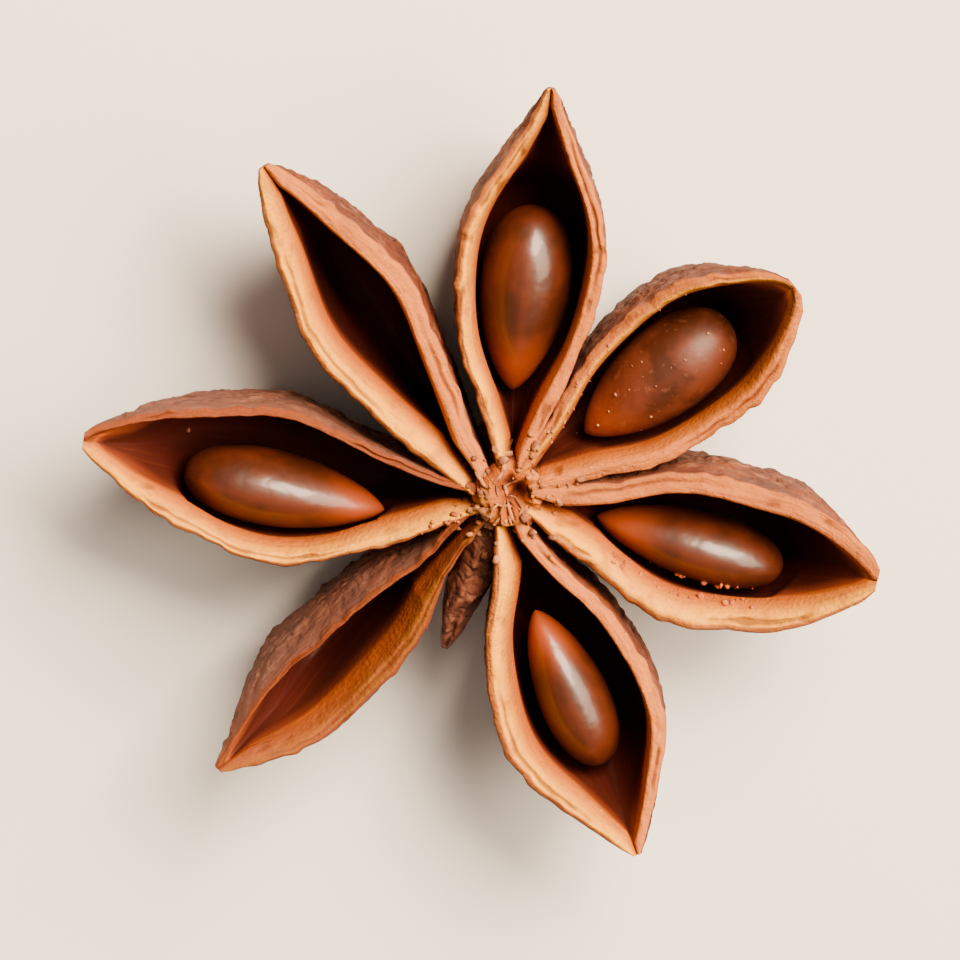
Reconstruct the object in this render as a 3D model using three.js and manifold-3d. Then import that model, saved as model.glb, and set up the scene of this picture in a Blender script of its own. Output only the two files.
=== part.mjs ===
// A dried star anise pod: seven open boat-shaped carpels and one that stayed small and shut,
// grown together round a short column, with a loose glossy seed in five of them.
// Millimetres, +Z up. The pod rests on the keels of its carpels at z = 0, with its mouths up.
import * as THREE from 'three';
import { mergeVertices } from 'three/addons/utils/BufferGeometryUtils.js';
import Module from 'manifold-3d';

const wasm = await Module();
wasm.setup();

// ---- Driving dimensions ----

const RIM_HEIGHT = 7.4; // lips above the resting plane, at the column
const RIM_DIP = 0.35; // how far the lips sink halfway along a carpel
const COLUMN_X = 1.16; // column axis from the middle of the footprint
const COLUMN_Y = -1.22;
const BASE_RADIUS = 0.95; // where a carpel starts, inside the column
const BASE_HALF_WIDTH = 0.4; // what the lips keep where they run into the column
const LIP_THINNING = 0.3; // share of a lip's width that is gone at the beak
const EDGE_DROP = 0.22; // drop of the split face from its crest to the skin
const MOUTH_DROP = 1.4; // drop of the split face from its crest to the mouth
const MOUTH_SLIT = 0.1; // half of the gap that stays between two lips that meet
const CUP_DEPTH = 0.8; // depth of the hollow, as a share of the carpel's depth
const GROOVE_DEPTH = 0.55; // the same where the hollow is only a groove
const CUP_ROUNDING = 2.5; // exponent of the cup's superellipse
const GROOVE_ROUNDING = 1.25; // the same for the groove, almost a V
const CUP_FADE = 2.6; // length over which the cup turns into the groove at either end
const BEAK_SHALLOWING = 0.35; // share of the hollow's depth that is gone at the beak
const BASE_DEPTH = 0.72; // depth of a carpel at the column, as a share of its deepest
const DEEPEST = 0.56; // where the keel is lowest, as a share of the length
const KEEL_CURVE = 2.4; // exponents of the keel's sweep up to the beak
const KEEL_SWEEP = 1.5;
const BEAK_DEPTH = 0.35; // what is left of the depth at the tip
const BEAK_ROUNDING = 0.5; // share of the beak's width that its rounded end takes off
const BEAK_END = 0.96; // where that end begins
const BELLY_DROP = 0.36; // where the wall is widest, as a share of the depth below the lip
const KEEL_ROUNDING = 2.15; // exponent of the keel's superellipse; 2 is an ellipse
const ROLL_DEPTH = 0.35; // depth of the line that a rolled carpel turns about
const THINNEST = 0.2; // most that a bevel takes of the depth, near the tip

// Long wrinkles of the dried skin, and the waviness of the lips.
const WRINKLE_HEIGHT = 0.55;
const WRINKLE_LIFT = 0.2; // share of the height by which the wrinkled skin stands out overall
const WRINKLE_SINK = 0.2; // the deepest that it sinks in
const WRINKLE_MIDDLE = 0.45; // depth of the line that wrinkles stand out from
const WRINKLE_START = 0.4; // share of the way from the lip to the keel where they begin
const WRINKLE_FULL = 0.85; // and where they are at their full height
const LIP_WAVE = 0.09;

// The carpels, anticlockwise from the +X side. azimuth and roll are in degrees, rise lifts the
// beak over the lips' plane, lip holds the widths of the left and the right lip, and crest is
// where each of them is highest, as a share of its width from the outside. fullness holds the
// exponents that shape the outline towards the column and towards the beak. sway is how far the
// middle line lies to the left of the straight line to the tip: at the column, and at the two
// control points of the curve from there.
// A seed's from and to are distances from the column's axis, side is its offset from the
// carpel's middle line, drop is the depth of its middle below the lips, and skew is the angle
// in degrees by which it lies across the middle line.
const CARPELS = [
  {
    name: 'east', azimuth: -12.3, length: 16.4, halfWidth: 3.5, sway: [0.25, -1.05, -0.85],
    roll: 0, rise: 1.0, depth: 7.1, lip: [1.2, 1.35], crest: [0.75, 0.3], beak: 0.65, belly: 1.0,
    fullness: [1.5, 1.15], phase: 0.4,
    seed: { from: 4.1, to: 12.5, width: 3.0, height: 4.2, side: -0.45, drop: 3.0, skew: -4 },
  },
  {
    name: 'north_east', azimuth: 37.8, length: 15.6, halfWidth: 3.3, sway: [0.25, -0.5, 0.05],
    roll: 0, rise: 1.0, depth: 7.05, lip: [0.9, 0.95], crest: [0.5, 0.7], beak: 0.55, belly: 1.0,
    fullness: [1.4, 1.0], phase: 1.9,
    seed: { from: 3.9, to: 11.8, width: 4.0, height: 4.2, side: -0.2, drop: 2.7, skew: 0 },
  },
  {
    name: 'north', azimuth: 84.4, length: 18.5, halfWidth: 3.2, sway: [-0.2, 0.65, -0.3],
    roll: 0, rise: 1.3, depth: 7.1, lip: [0.95, 0.75], crest: [0.35, 0.75], beak: 0.3, belly: 1.0,
    fullness: [1.75, 1.6], phase: 3.1,
    seed: { from: 4.0, to: 12.2, width: 3.9, height: 4.4, side: 0.0, drop: 2.7, skew: 0 },
  },
  {
    name: 'north_west', azimuth: 125.0, length: 18.3, halfWidth: 2.6, sway: [0.65, 1.15, 0.5],
    roll: 0, rise: 1.3, depth: 6.85, lip: [1.25, 1.1], crest: [0.3, 0.75], beak: 0.4, belly: 1.0,
    fullness: [1.55, 1.35], phase: 4.6,
  },
  {
    name: 'west', azimuth: 171.2, length: 18.6, halfWidth: 3.4, sway: [-0.05, 2.2, 1.15],
    roll: 0, rise: 1.3, depth: 6.95, lip: [1.05, 0.55], crest: [0.3, 0.6], beak: 0.55, belly: 0.97,
    fullness: [1.7, 1.4], phase: 5.3,
    seed: { from: 5.1, to: 13.9, width: 3.3, height: 4.2, side: 0.7, drop: 2.6, skew: 0 },
  },
  {
    name: 'south_west', azimuth: 222.2, length: 17.4, halfWidth: 1.95, sway: [-0.45, 0.2, 1.6],
    roll: 7, rise: 1.3, depth: 6.95, lip: [1.1, 0.4], crest: [0.3, 0.5], beak: 0.2, belly: 1.15,
    fullness: [2.0, 1.2], phase: 0.9,
  },
  {
    name: 'south_east', azimuth: -70.4, length: 16.9, halfWidth: 3.6, sway: [-0.35, -0.55, -0.55],
    roll: 0, rise: 1.2, depth: 7.05, lip: [0.85, 1.3], crest: [0.75, 0.3], beak: 0.22, belly: 1.0,
    fullness: [1.7, 1.25], phase: 2.5,
    seed: { from: 5.8, to: 13.3, width: 3.1, height: 4.0, side: -0.15, drop: 2.3, skew: 2.5 },
  },
];

// The carpel that never filled: narrow, low and shut. drop is how far it hangs at its end.
const SHUT_CARPEL = {
  azimuth: 249.7, length: 8.0, halfWidth: 0.95, depth: 4.5, drop: 2.1, phase: 1.2,
};
const SHUT_TOP = 0.2; // its top below the lips' plane, at the column
const SHUT_CREASE = 0.25; // depth of the crease along its top
const SHUT_LUMPS = 0.12; // its wrinkles, as a share of its width

const SEED_GAP = 0.45; // clearance between a seed's sides and the hollow it lies in
const SEED_END_ROOM = 1.1; // clearance past either end of a seed
const ROOM_ROUNDING = 0.2; // share of that room's half length over which its ends close
const ROOM_PIVOT = 0.6; // where that room opens from, as a share of its half height over its middle
const ROOM_SIDE = 0.7; // the farthest that this lies to a side, as a share of its half width
const SEED_POINT = 0.7; // exponents of a seed's outline at its scar and at its blunt end
const SEED_BLUNT = 0.45;
const SEED_FULLEST = 1.03; // what that outline comes to where the seed is widest
const SEED_END = 0.04; // share of the turn that the small flats at a seed's ends cut off

const COLUMN_RADIUS = 1.5;
const COLUMN_TOP = 7.45;
const COLUMN_LUMPS = 0.07;
const RECEPTACLE_RADIUS = 2.3;
const RECEPTACLE_BOTTOM = 1.55;
const STALK_RADIUS = 0.78;
const STALK_BOTTOM = 0.85;

// How finely the surfaces are cut.
const ROWS = 21; // steps along a carpel
const ROW_CROWDING = 1.2; // over 1 crowds them towards the beak
const LAST_ROW = 0.99; // the beak ends in a small flat, short of the tip
const WALL_STEPS = 3; // from the lip down to the belly
const KEEL_STEPS = 5; // from the belly round to the keel
const HOLLOW_STEPS = 5; // from the mouth down to the floor of the hollow
const SHUT_ROWS = 14;
const SHUT_SIDES = 14;
const COLUMN_SIDES = 16;
const SEED_ROWS = 10;
const SEED_SIDES = 12;

const FAR = 30; // past every edge of the pod

// ---- Materials ----

const skin = new THREE.MeshStandardMaterial({ color: 0x8a4b32, roughness: 0.8, metalness: 0 });
const seedCoat = new THREE.MeshStandardMaterial({ color: 0x6a3018, roughness: 0.25, metalness: 0 });

// ---- The outline of a carpel; s runs from 0 at the column's axis to 1 at the tip ----

const { lerp, degToRad } = THREE.MathUtils;
const smooth = (from, to, x) => THREE.MathUtils.smoothstep(x, from, to);
const quarterTurn = Math.PI / 2;

function halfWidthAt(carpel, s) {
  const [inner, outer] = carpel.fullness;
  const widest = inner / (inner + outer);
  const peak = widest ** inner * (1 - widest) ** outer;
  const lens = (s ** inner * (1 - s) ** outer) / peak;
  const base = BASE_HALF_WIDTH * (1 - smooth(0.05, 0.3, s));
  const wave = LIP_WAVE * Math.sin(17 * s + carpel.phase) * smooth(0.15, 0.4, s) * (1 - smooth(0.75, 1, s));
  const beak = carpel.beak * smooth(0.6, 1, s) * (1 - BEAK_ROUNDING * smooth(BEAK_END, 1, s));
  return carpel.halfWidth * lens + base + beak + wave;
}

function rimHeightAt(carpel, s) {
  const dip = RIM_DIP * Math.sin(Math.PI * s) ** 2;
  const wave = LIP_WAVE * Math.sin(13 * s + 2 * carpel.phase) * smooth(0.1, 0.4, s);
  return RIM_HEIGHT - dip + carpel.rise * (0.5 * s ** 3 + 0.5 * s ** 8) + wave;
}

function depthAt(carpel, s) {
  if (s < DEEPEST) {
    const back = (DEEPEST - s) / DEEPEST;
    return carpel.depth * (1 - (1 - BASE_DEPTH) * back ** 2);
  }
  const beyond = (s - DEEPEST) / (1 - DEEPEST);
  return carpel.depth * (1 - beyond ** KEEL_CURVE) ** KEEL_SWEEP + BEAK_DEPTH * beyond;
}

// The width of the lip on one side: 1 is the left one, -1 the right one.
function lipAt(carpel, s, side) {
  const [left, right] = carpel.lip;
  const share = 1 - LIP_THINNING * smooth(0.75, 1, s);
  return Math.min((side > 0 ? left : right) * share, halfWidthAt(carpel, s) - MOUTH_SLIT);
}

// The middle line's offset to the left of the straight line to the tip, and how fast it grows.
function swayAt(carpel, s) {
  const [base, near, far] = carpel.sway;
  return base * (1 - s) ** 3 + 3 * near * s * (1 - s) ** 2 + 3 * far * s ** 2 * (1 - s);
}

function swaySlopeAt(carpel, s) {
  const step = 1e-3;
  return (swayAt(carpel, s + step) - swayAt(carpel, s - step)) / (2 * step);
}

// The hollow is a round cup where a seed lies or lay, and a narrow groove at both ends.
function cupShareAt(carpel, s) {
  const { from, to } = carpel.seed ?? { from: 0.26 * carpel.length, to: 0.68 * carpel.length };
  const r = s * carpel.length;
  return smooth(from - CUP_FADE, from + 0.4, r) * (1 - smooth(to + 0.2, to + CUP_FADE, r));
}

// Ridges and pits of the shrunken skin, from -1 to 1: r along the carpel, q round it from the keel.
function wrinkle(r, q, phase) {
  const along = r + 0.8 * Math.sin(0.9 * q + phase);
  const round = q + 0.7 * Math.sin(0.8 * r + 2 * phase);
  const ridge = 1 - 2 * Math.abs(Math.sin(0.62 * along + 0.5 * round + phase));
  const lump = Math.sin(1.9 * along + phase) * Math.sin(1.4 * round + 3 * phase);
  return 0.45 * ridge + 0.55 * lump;
}

// ---- One cross-section: a closed loop of [y, z] from the left lip, under the keel and back ----

function outerPoint(carpel, s, side, step) {
  const width = halfWidthAt(carpel, s);
  const rim = rimHeightAt(carpel, s);
  const depth = depthAt(carpel, s);
  const belly = width * lerp(1, carpel.belly, smooth(0.1, 0.3, s) * (1 - smooth(0.8, 1, s)));
  const bellyDrop = BELLY_DROP * depth;
  const edgeDrop = Math.min(EDGE_DROP, THINNEST * depth);
  let y;
  let z;
  if (step <= WALL_STEPS) {
    const down = step / WALL_STEPS;
    y = width + (belly - width) * Math.sin(down * quarterTurn);
    z = rim - edgeDrop - (bellyDrop - edgeDrop) * down;
  } else {
    const turn = ((step - WALL_STEPS) / KEEL_STEPS) * quarterTurn;
    y = belly * Math.max(Math.cos(turn), 0) ** (2 / KEEL_ROUNDING);
    z = rim - bellyDrop - (depth - bellyDrop) * Math.sin(turn) ** (2 / KEEL_ROUNDING);
  }
  const round = step / (WALL_STEPS + KEEL_STEPS); // 0 at the lip, 1 at the keel
  const clearOfEnds = smooth(0.08, 0.25, s) * (1 - smooth(0.86, 1, s));
  const reach = smooth(WRINKLE_START, WRINKLE_FULL, round) * clearOfEnds;
  const q = side * (1 - round) * (depth + width);
  const relief = WRINKLE_LIFT + (1 - WRINKLE_LIFT) * wrinkle(s * carpel.length, q, carpel.phase);
  const out = Math.max(WRINKLE_HEIGHT * reach * relief, -WRINKLE_SINK);
  const middle = rim - WRINKLE_MIDDLE * depth;
  const span = Math.hypot(y, z - middle);
  return [side * (y + (out * y) / span), z + (out * (z - middle)) / span];
}

function crestPoint(carpel, s, side) {
  const [left, right] = carpel.crest;
  const inwards = (side > 0 ? left : right) * lipAt(carpel, s, side);
  return [side * (halfWidthAt(carpel, s) - inwards), rimHeightAt(carpel, s)];
}

// Half the width of a seed along its length, 0 at its scar end (-1) and at its blunt end (1).
function seedGirth(along) {
  return ((1 + along) ** SEED_POINT * (1 - along) ** SEED_BLUNT) / SEED_FULLEST;
}

// How fast a seed's axis moves to the left as s grows.
function seedSlope(carpel) {
  const { seed } = carpel;
  const middle = (seed.from + seed.to) / 2 / carpel.length;
  return swaySlopeAt(carpel, middle) + carpel.length * Math.tan(degToRad(seed.skew));
}

// Moves a point of the hollow out of the room that the carpel's seed takes.
function clearOfSeed(carpel, s, y, z) {
  const { seed } = carpel;
  if (!seed) {
    return [y, z];
  }
  const middle = (seed.from + seed.to) / 2 / carpel.length;
  const along = ((s - middle) * carpel.length) / ((seed.to - seed.from) / 2 + SEED_END_ROOM);
  if (Math.abs(along) >= 1) {
    return [y, z];
  }
  const girth = seedGirth(along);
  const ending = Math.sqrt(Math.min((1 - Math.abs(along)) / ROOM_ROUNDING, 1));
  const straight = swayAt(carpel, middle) + seedSlope(carpel) * (s - middle);
  const middleY = seed.side + straight - swayAt(carpel, s);
  const middleZ = rimHeightAt(carpel, middle) - seed.drop;
  const roomWidth = ending * (girth * seed.width * 0.5 + SEED_GAP);
  const roomHeight = ending * (girth * seed.height * 0.5 + SEED_GAP);
  // In units of the room, which opens from a line over the hollow's own middle: what lies inside
  // moves away from there, out to the unit circle.
  const aside = THREE.MathUtils.clamp(-middleY / roomWidth, -ROOM_SIDE, ROOM_SIDE);
  const from = new THREE.Vector2(aside, ROOM_PIVOT);
  const way = new THREE.Vector2((y - middleY) / roomWidth, (z - middleZ) / roomHeight).sub(from);
  const half = from.dot(way);
  const reach = Math.sqrt(half ** 2 + way.lengthSq() * (1 - from.lengthSq())) - half;
  const spot = from.addScaledVector(way, Math.max(reach / way.lengthSq(), 1));
  return [middleY + spot.x * roomWidth, middleZ + spot.y * roomHeight];
}

function innerPoint(carpel, s, side, step) {
  const mouth = halfWidthAt(carpel, s) - lipAt(carpel, s, side);
  const depth = depthAt(carpel, s);
  const top = rimHeightAt(carpel, s) - Math.min(MOUTH_DROP, THINNEST * depth);
  const cup = cupShareAt(carpel, s);
  const reach = lerp(GROOVE_DEPTH, CUP_DEPTH, cup) * (1 - BEAK_SHALLOWING * smooth(0.85, 1, s));
  const floor = rimHeightAt(carpel, s) - reach * depth;
  const power = 2 / lerp(GROOVE_ROUNDING, CUP_ROUNDING, cup);
  const turn = (step / HOLLOW_STEPS) * quarterTurn;
  const y = side * mouth * Math.max(Math.cos(turn), 0) ** power;
  const z = top - (top - floor) * Math.sin(turn) ** power;
  return clearOfSeed(carpel, s, y, z);
}

function sectionLoop(carpel, s) {
  const steps = WALL_STEPS + KEEL_STEPS;
  const loop = [];
  for (let i = 0; i <= steps; i += 1) {
    loop.push(outerPoint(carpel, s, 1, i));
  }
  for (let i = steps - 1; i >= 0; i -= 1) {
    loop.push(outerPoint(carpel, s, -1, i));
  }
  loop.push(crestPoint(carpel, s, -1));
  for (let i = 0; i <= HOLLOW_STEPS; i += 1) {
    loop.push(innerPoint(carpel, s, -1, i));
  }
  for (let i = HOLLOW_STEPS - 1; i >= 0; i -= 1) {
    loop.push(innerPoint(carpel, s, 1, i));
  }
  loop.push(crestPoint(carpel, s, 1));
  return loop;
}

// A point at a distance from the column's axis, swung to an azimuth.
function swung(azimuth, r, across, up) {
  return new THREE.Vector3(r, across, up).applyAxisAngle(new THREE.Vector3(0, 0, 1), degToRad(azimuth));
}

// A point of a cross-section, rolled about the carpel's middle, moved onto its middle line and swung.
function place(carpel, s, y, z) {
  const roll = degToRad(carpel.roll) * smooth(0.1, 0.45, s);
  const pivot = rimHeightAt(carpel, s) - ROLL_DEPTH * carpel.depth;
  const across = y * Math.cos(roll) + (z - pivot) * Math.sin(roll) + swayAt(carpel, s);
  const up = pivot - y * Math.sin(roll) + (z - pivot) * Math.cos(roll);
  return swung(carpel.azimuth, s * carpel.length, across, up);
}

// ---- Closed meshes ----

// The triangles of a flat end: the loop's points up to split are zipped to those after it.
function capFaces(count, split) {
  const near = split;
  const far = count - split - 2;
  const faces = [];
  let i = 0;
  let j = 0;
  while (i < near || j < far) {
    const a = i;
    const b = count - 1 - j;
    if (j === far || (i < near && i * far <= j * near)) {
      faces.push([a, a + 1, b]);
      i += 1;
    } else {
      faces.push([a, b - 1, b]);
      j += 1;
    }
  }
  return faces;
}

// Joins equal loops of points into a tube with both ends shut.
function tubeGeometry(rings, split) {
  const count = rings[0].length;
  const last = (rings.length - 1) * count;
  const index = [];
  for (let row = 0; row < rings.length - 1; row += 1) {
    for (let i = 0; i < count; i += 1) {
      const a = row * count + i;
      const b = row * count + ((i + 1) % count);
      index.push(a, a + count, b, b, a + count, b + count);
    }
  }
  for (const [a, b, c] of capFaces(count, split)) {
    index.push(a, b, c);
    index.push(last + c, last + b, last + a);
  }
  const positions = rings.flat().flatMap((p) => [p.x, p.y, p.z]);
  const geometry = new THREE.BufferGeometry();
  geometry.setAttribute('position', new THREE.Float32BufferAttribute(positions, 3));
  geometry.setIndex(index);
  return geometry;
}

function carpelGeometry(carpel) {
  const first = BASE_RADIUS / carpel.length;
  const rings = [];
  for (let row = 0; row <= ROWS; row += 1) {
    const s = first + (LAST_ROW - first) * (1 - (1 - row / ROWS) ** ROW_CROWDING);
    rings.push(sectionLoop(carpel, s).map(([y, z]) => place(carpel, s, y, z)));
  }
  return tubeGeometry(rings, 2 * (WALL_STEPS + KEEL_STEPS));
}

// The shut carpel: a low wrinkled spindle with only a crease along its top.
function shutCarpelGeometry(carpel) {
  const first = 0.06;
  const last = 0.99;
  const rings = [];
  for (let row = 0; row <= SHUT_ROWS; row += 1) {
    const s = lerp(first, last, row / SHUT_ROWS);
    const half = carpel.halfWidth * (1 - s ** 3) ** 0.8 + 0.1;
    const depth = carpel.depth * (1 - s ** 2.6) ** 0.9 + 0.3;
    const top = RIM_HEIGHT - SHUT_TOP - carpel.drop * s;
    const ring = [];
    for (let i = 0; i < SHUT_SIDES; i += 1) {
      const turn = (i / SHUT_SIDES) * 2 * Math.PI;
      const offTop = Math.atan2(Math.sin(turn), -Math.cos(turn));
      const crease = SHUT_CREASE * Math.exp(-((offTop / 0.3) ** 2));
      const lump = 1 + SHUT_LUMPS * wrinkle(s * carpel.length, 3 * turn, carpel.phase);
      const y = -Math.sin(turn) * half * lump;
      const z = top - depth / 2 - (Math.cos(turn) * depth * lump) / 2 - crease;
      ring.push(swung(carpel.azimuth, s * carpel.length, y, z));
    }
    rings.push(ring);
  }
  return tubeGeometry(rings, SHUT_SIDES / 2);
}

// A seed along +X, blunt outwards and pointed at its scar, which faces the column.
function seedGeometry(seed) {
  const rings = [];
  for (let row = 0; row <= SEED_ROWS; row += 1) {
    const along = -Math.cos(lerp(SEED_END, 1 - SEED_END, row / SEED_ROWS) * Math.PI);
    const girth = seedGirth(along);
    const ring = [];
    for (let i = 0; i < SEED_SIDES; i += 1) {
      const turn = (i / SEED_SIDES) * 2 * Math.PI;
      ring.push(new THREE.Vector3(
        (along * (seed.to - seed.from)) / 2,
        Math.sin(turn) * girth * seed.width * 0.5,
        Math.cos(turn) * girth * seed.height * 0.5,
      ));
    }
    rings.push(ring);
  }
  return tubeGeometry(rings, SEED_SIDES / 2);
}

// Where a seed lies: its middle in the carpel's hollow, and its heading along the middle line.
function seedMatrix(carpel) {
  const { seed } = carpel;
  const s = (seed.from + seed.to) / 2 / carpel.length;
  const middle = place(carpel, s, seed.side, rimHeightAt(carpel, s) - seed.drop);
  const swing = Math.atan(seedSlope(carpel) / carpel.length);
  return new THREE.Matrix4().makeRotationZ(degToRad(carpel.azimuth) + swing).setPosition(middle);
}

// The knob where the carpels meet, and under it the receptacle with the scar of the stalk.
function columnGeometry() {
  const profile = [
    [0, STALK_BOTTOM + 0.15],
    [0.45 * STALK_RADIUS, STALK_BOTTOM + 0.12],
    [0.85 * STALK_RADIUS, STALK_BOTTOM],
    [STALK_RADIUS, STALK_BOTTOM + 0.15],
    [1.05 * STALK_RADIUS, RECEPTACLE_BOTTOM],
    [0.7 * RECEPTACLE_RADIUS, RECEPTACLE_BOTTOM + 0.15],
    [RECEPTACLE_RADIUS, RECEPTACLE_BOTTOM + 0.9],
    [0.8 * RECEPTACLE_RADIUS, RECEPTACLE_BOTTOM + 2.2],
    [COLUMN_RADIUS, 0.6 * COLUMN_TOP],
    [COLUMN_RADIUS, 0.93 * COLUMN_TOP],
    [0.7 * COLUMN_RADIUS, COLUMN_TOP],
    [0, 0.985 * COLUMN_TOP],
  ];
  const lathe = new THREE.LatheGeometry(profile.map(([r, z]) => new THREE.Vector2(r, z)), COLUMN_SIDES);
  lathe.rotateX(quarterTurn);
  const position = lathe.getAttribute('position');
  for (let i = 0; i < position.count; i += 1) {
    const x = position.getX(i);
    const y = position.getY(i);
    const z = position.getZ(i);
    const lump = 1 + COLUMN_LUMPS * Math.sin(5 * Math.atan2(y, x)) * Math.sin(1.3 * z);
    position.setXYZ(i, x * lump, y * lump, z);
  }
  return lathe;
}

// ---- Joining and cutting ----

function solidOf(geometry) {
  const bare = geometry.clone();
  bare.deleteAttribute('normal');
  bare.deleteAttribute('uv');
  const merged = mergeVertices(bare, 1e-4);
  return new wasm.Manifold(new wasm.Mesh({
    numProp: 3,
    vertProperties: merged.getAttribute('position').array,
    triVerts: new Uint32Array(merged.index.array),
  }));
}

function geometryOf(solid) {
  const mesh = solid.getMesh();
  const geometry = new THREE.BufferGeometry();
  geometry.setAttribute('position', new THREE.BufferAttribute(mesh.vertProperties, mesh.numProp));
  geometry.setIndex(new THREE.BufferAttribute(mesh.triVerts, 1));
  geometry.computeVertexNormals();
  return geometry;
}

function podGeometry() {
  const core = solidOf(columnGeometry()).add(solidOf(shutCarpelGeometry(SHUT_CARPEL)));
  const grown = CARPELS.reduce((whole, carpel) => whole.add(solidOf(carpelGeometry(carpel))), core);
  // Everything under z = 0 goes, which leaves the small flats that the pod rests on.
  const under = new THREE.BoxGeometry(2 * FAR, 2 * FAR, FAR).translate(0, 0, -FAR / 2);
  return geometryOf(grown.subtract(solidOf(under)));
}

// ---- The scene graph ----

const anise = new THREE.Group();
anise.position.set(COLUMN_X, COLUMN_Y, 0);

const pod = new THREE.Mesh(podGeometry(), skin);
pod.name = 'pod';
anise.add(pod);

for (const carpel of CARPELS.filter((c) => c.seed)) {
  const seed = new THREE.Mesh(seedGeometry(carpel.seed), seedCoat);
  seed.name = `seed_${carpel.name}`;
  seed.applyMatrix4(seedMatrix(carpel));
  anise.add(seed);
}

export default anise;
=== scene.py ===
"""A dried star anise pod: a woody husk of eight carpels, five loose seeds, fibres and crumbs.

The husk's carpels follow the same outline functions as the solids they stand for, cut much
finer, with the skin's creases, the fibres and the split lips worked into the mesh.
Sizes are in millimetres until a mesh is made, which turns them to metres.
"""

import itertools
import math

import bmesh
import bpy
import numpy as np
from mathutils import Matrix, Vector, bvhtree, kdtree


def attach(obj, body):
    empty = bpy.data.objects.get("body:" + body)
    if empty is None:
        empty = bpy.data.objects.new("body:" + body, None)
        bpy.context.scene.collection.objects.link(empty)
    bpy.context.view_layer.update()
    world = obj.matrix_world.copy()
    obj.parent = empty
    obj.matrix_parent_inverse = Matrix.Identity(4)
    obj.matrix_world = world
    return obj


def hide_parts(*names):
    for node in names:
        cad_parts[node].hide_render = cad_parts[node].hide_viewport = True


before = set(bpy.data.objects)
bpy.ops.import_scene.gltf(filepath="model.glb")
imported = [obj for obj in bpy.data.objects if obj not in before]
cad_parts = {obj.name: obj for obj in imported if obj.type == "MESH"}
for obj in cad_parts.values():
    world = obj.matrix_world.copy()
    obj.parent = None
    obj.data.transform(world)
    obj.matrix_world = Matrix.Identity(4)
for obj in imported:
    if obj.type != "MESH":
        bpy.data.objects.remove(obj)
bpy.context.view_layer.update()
MM = 0.001

# ---- Driving dimensions of the pod ----

# The lips.
RIM_HEIGHT = 7.4  # above the resting plane, at the column
RIM_DIP = 0.35  # how far the lips sag halfway along
LIP_WAVE = 0.09  # how far they wave, sideways and up
SIDE_WAVES = 17  # the sideways wave, in radians from the column to the tip
RISE_WAVES = 13  # the upward one
LIP_THINNING = 0.3  # share of a lip's width that is lost towards the tip
EDGE_DROP = 0.22  # the skin's edge below the rim
MOUTH_DROP = 1.4  # the mouth of the hollow below the rim
THINNEST = 0.2  # the most of the depth that either drop takes, where the beak is shallow
MOUTH_SLIT = 0.1  # half the mouth's least width
SLIT_CLOSING = 0.8  # share of the slit that is lost in the beak

# The carpels. Shares of the length run from the column's axis to the tip.
COLUMN_X = 1.16  # the column's axis, from the middle of the footprint
COLUMN_Y = -1.22
BASE_RADIUS = 0.95  # where a carpel starts, from the column's axis
BASE_HALF_WIDTH = 0.4
BASE_DEPTH = 0.72  # the keel's depth at the column, as a share of its greatest depth
DEEPEST = 0.56  # where the keel is deepest, as a share of the length
KEEL_CURVE = 2.4  # powers of the keel's rise to the beak
KEEL_SWEEP = 1.5
KEEL_ROUNDING = 2.15  # 2 is an ellipse, and more is squarer
BELLY_DROP = 0.36  # the widest line below the rim, as a share of the depth
WALL_SHARE = 0.375  # share of the way round to the keel that the wall takes, down to the belly
ROLL_DEPTH = 0.35  # the axis that a carpel rolls about, as a share of the depth
BEAK_DEPTH = 0.35
BEAK_ROUNDING = 0.5  # share of the beak's width that its rounded end loses
BEAK_END = 0.96  # where the rounded end starts, as a share of the length

# The hollows: a round cup where a seed lies, and a groove beyond it.
CUP_DEPTH = 0.8  # as shares of the keel's depth
GROOVE_DEPTH = 0.55
CUP_ROUNDING = 2.5
GROOVE_ROUNDING = 1.25
CUP_START = 0.4  # where the cup is whole, inwards of the seed's near end and past its far end
CUP_END = 0.2
CUP_FADE = 2.6  # how far from the seed's ends the cup has turned into the groove
EMPTY_CUP = (0.26, 0.68)  # where the cup of an empty carpel starts and ends, as shares of the length
BEAK_SHALLOWING = 0.35  # share of the hollow's depth that is lost in the beak

# The long wrinkles that the solids share.
WRINKLE_HEIGHT = 0.55
WRINKLE_LIFT = 0.2  # share of the height that the wrinkled skin stands out by as a whole
WRINKLE_SINK = 0.2  # the deepest that a valley sinks
WRINKLE_MIDDLE = 0.45  # the line that they stand out from, as a share of the depth
WRINKLE_START = 0.4  # where they start and are full, from the lip (0) to the keel (1)
WRINKLE_FULL = 0.85

# The seeds, and the room that each has in its hollow.
SEED_POINT = 0.7  # powers of the seed's outline towards its scar and its blunt end
SEED_BLUNT = 0.45
SEED_FULLEST = 1.03  # the greatest value of that outline, which brings it to 1
SEED_SEAM_WIDTH = 0.16  # about the share of the seed's thickness that its seam takes
SEED_SEAM_HEIGHT = 0.005  # as shares of the seed's girth: of the seam, of the flats beside it,
SEED_FLATS = 0.012  # of its broad dents and of its fine ones
SEED_DENTS = 0.014
SEED_PITS = 0.004
SEED_GAP = 0.16  # between the seed and the wall beside it
SEED_END_ROOM = 0.7  # between the seed's ends and the ends of its room
ROOM_ROUNDING = 0.2  # share of the room's half length over which its ends are rounded
ROOM_PIVOT = 0.6  # how high and how far aside the wall opens from, in units of the room
ROOM_SIDE = 0.7
ROOM_SOFTNESS = 8  # how softly the wall leans out to the room: more is sharper

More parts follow.
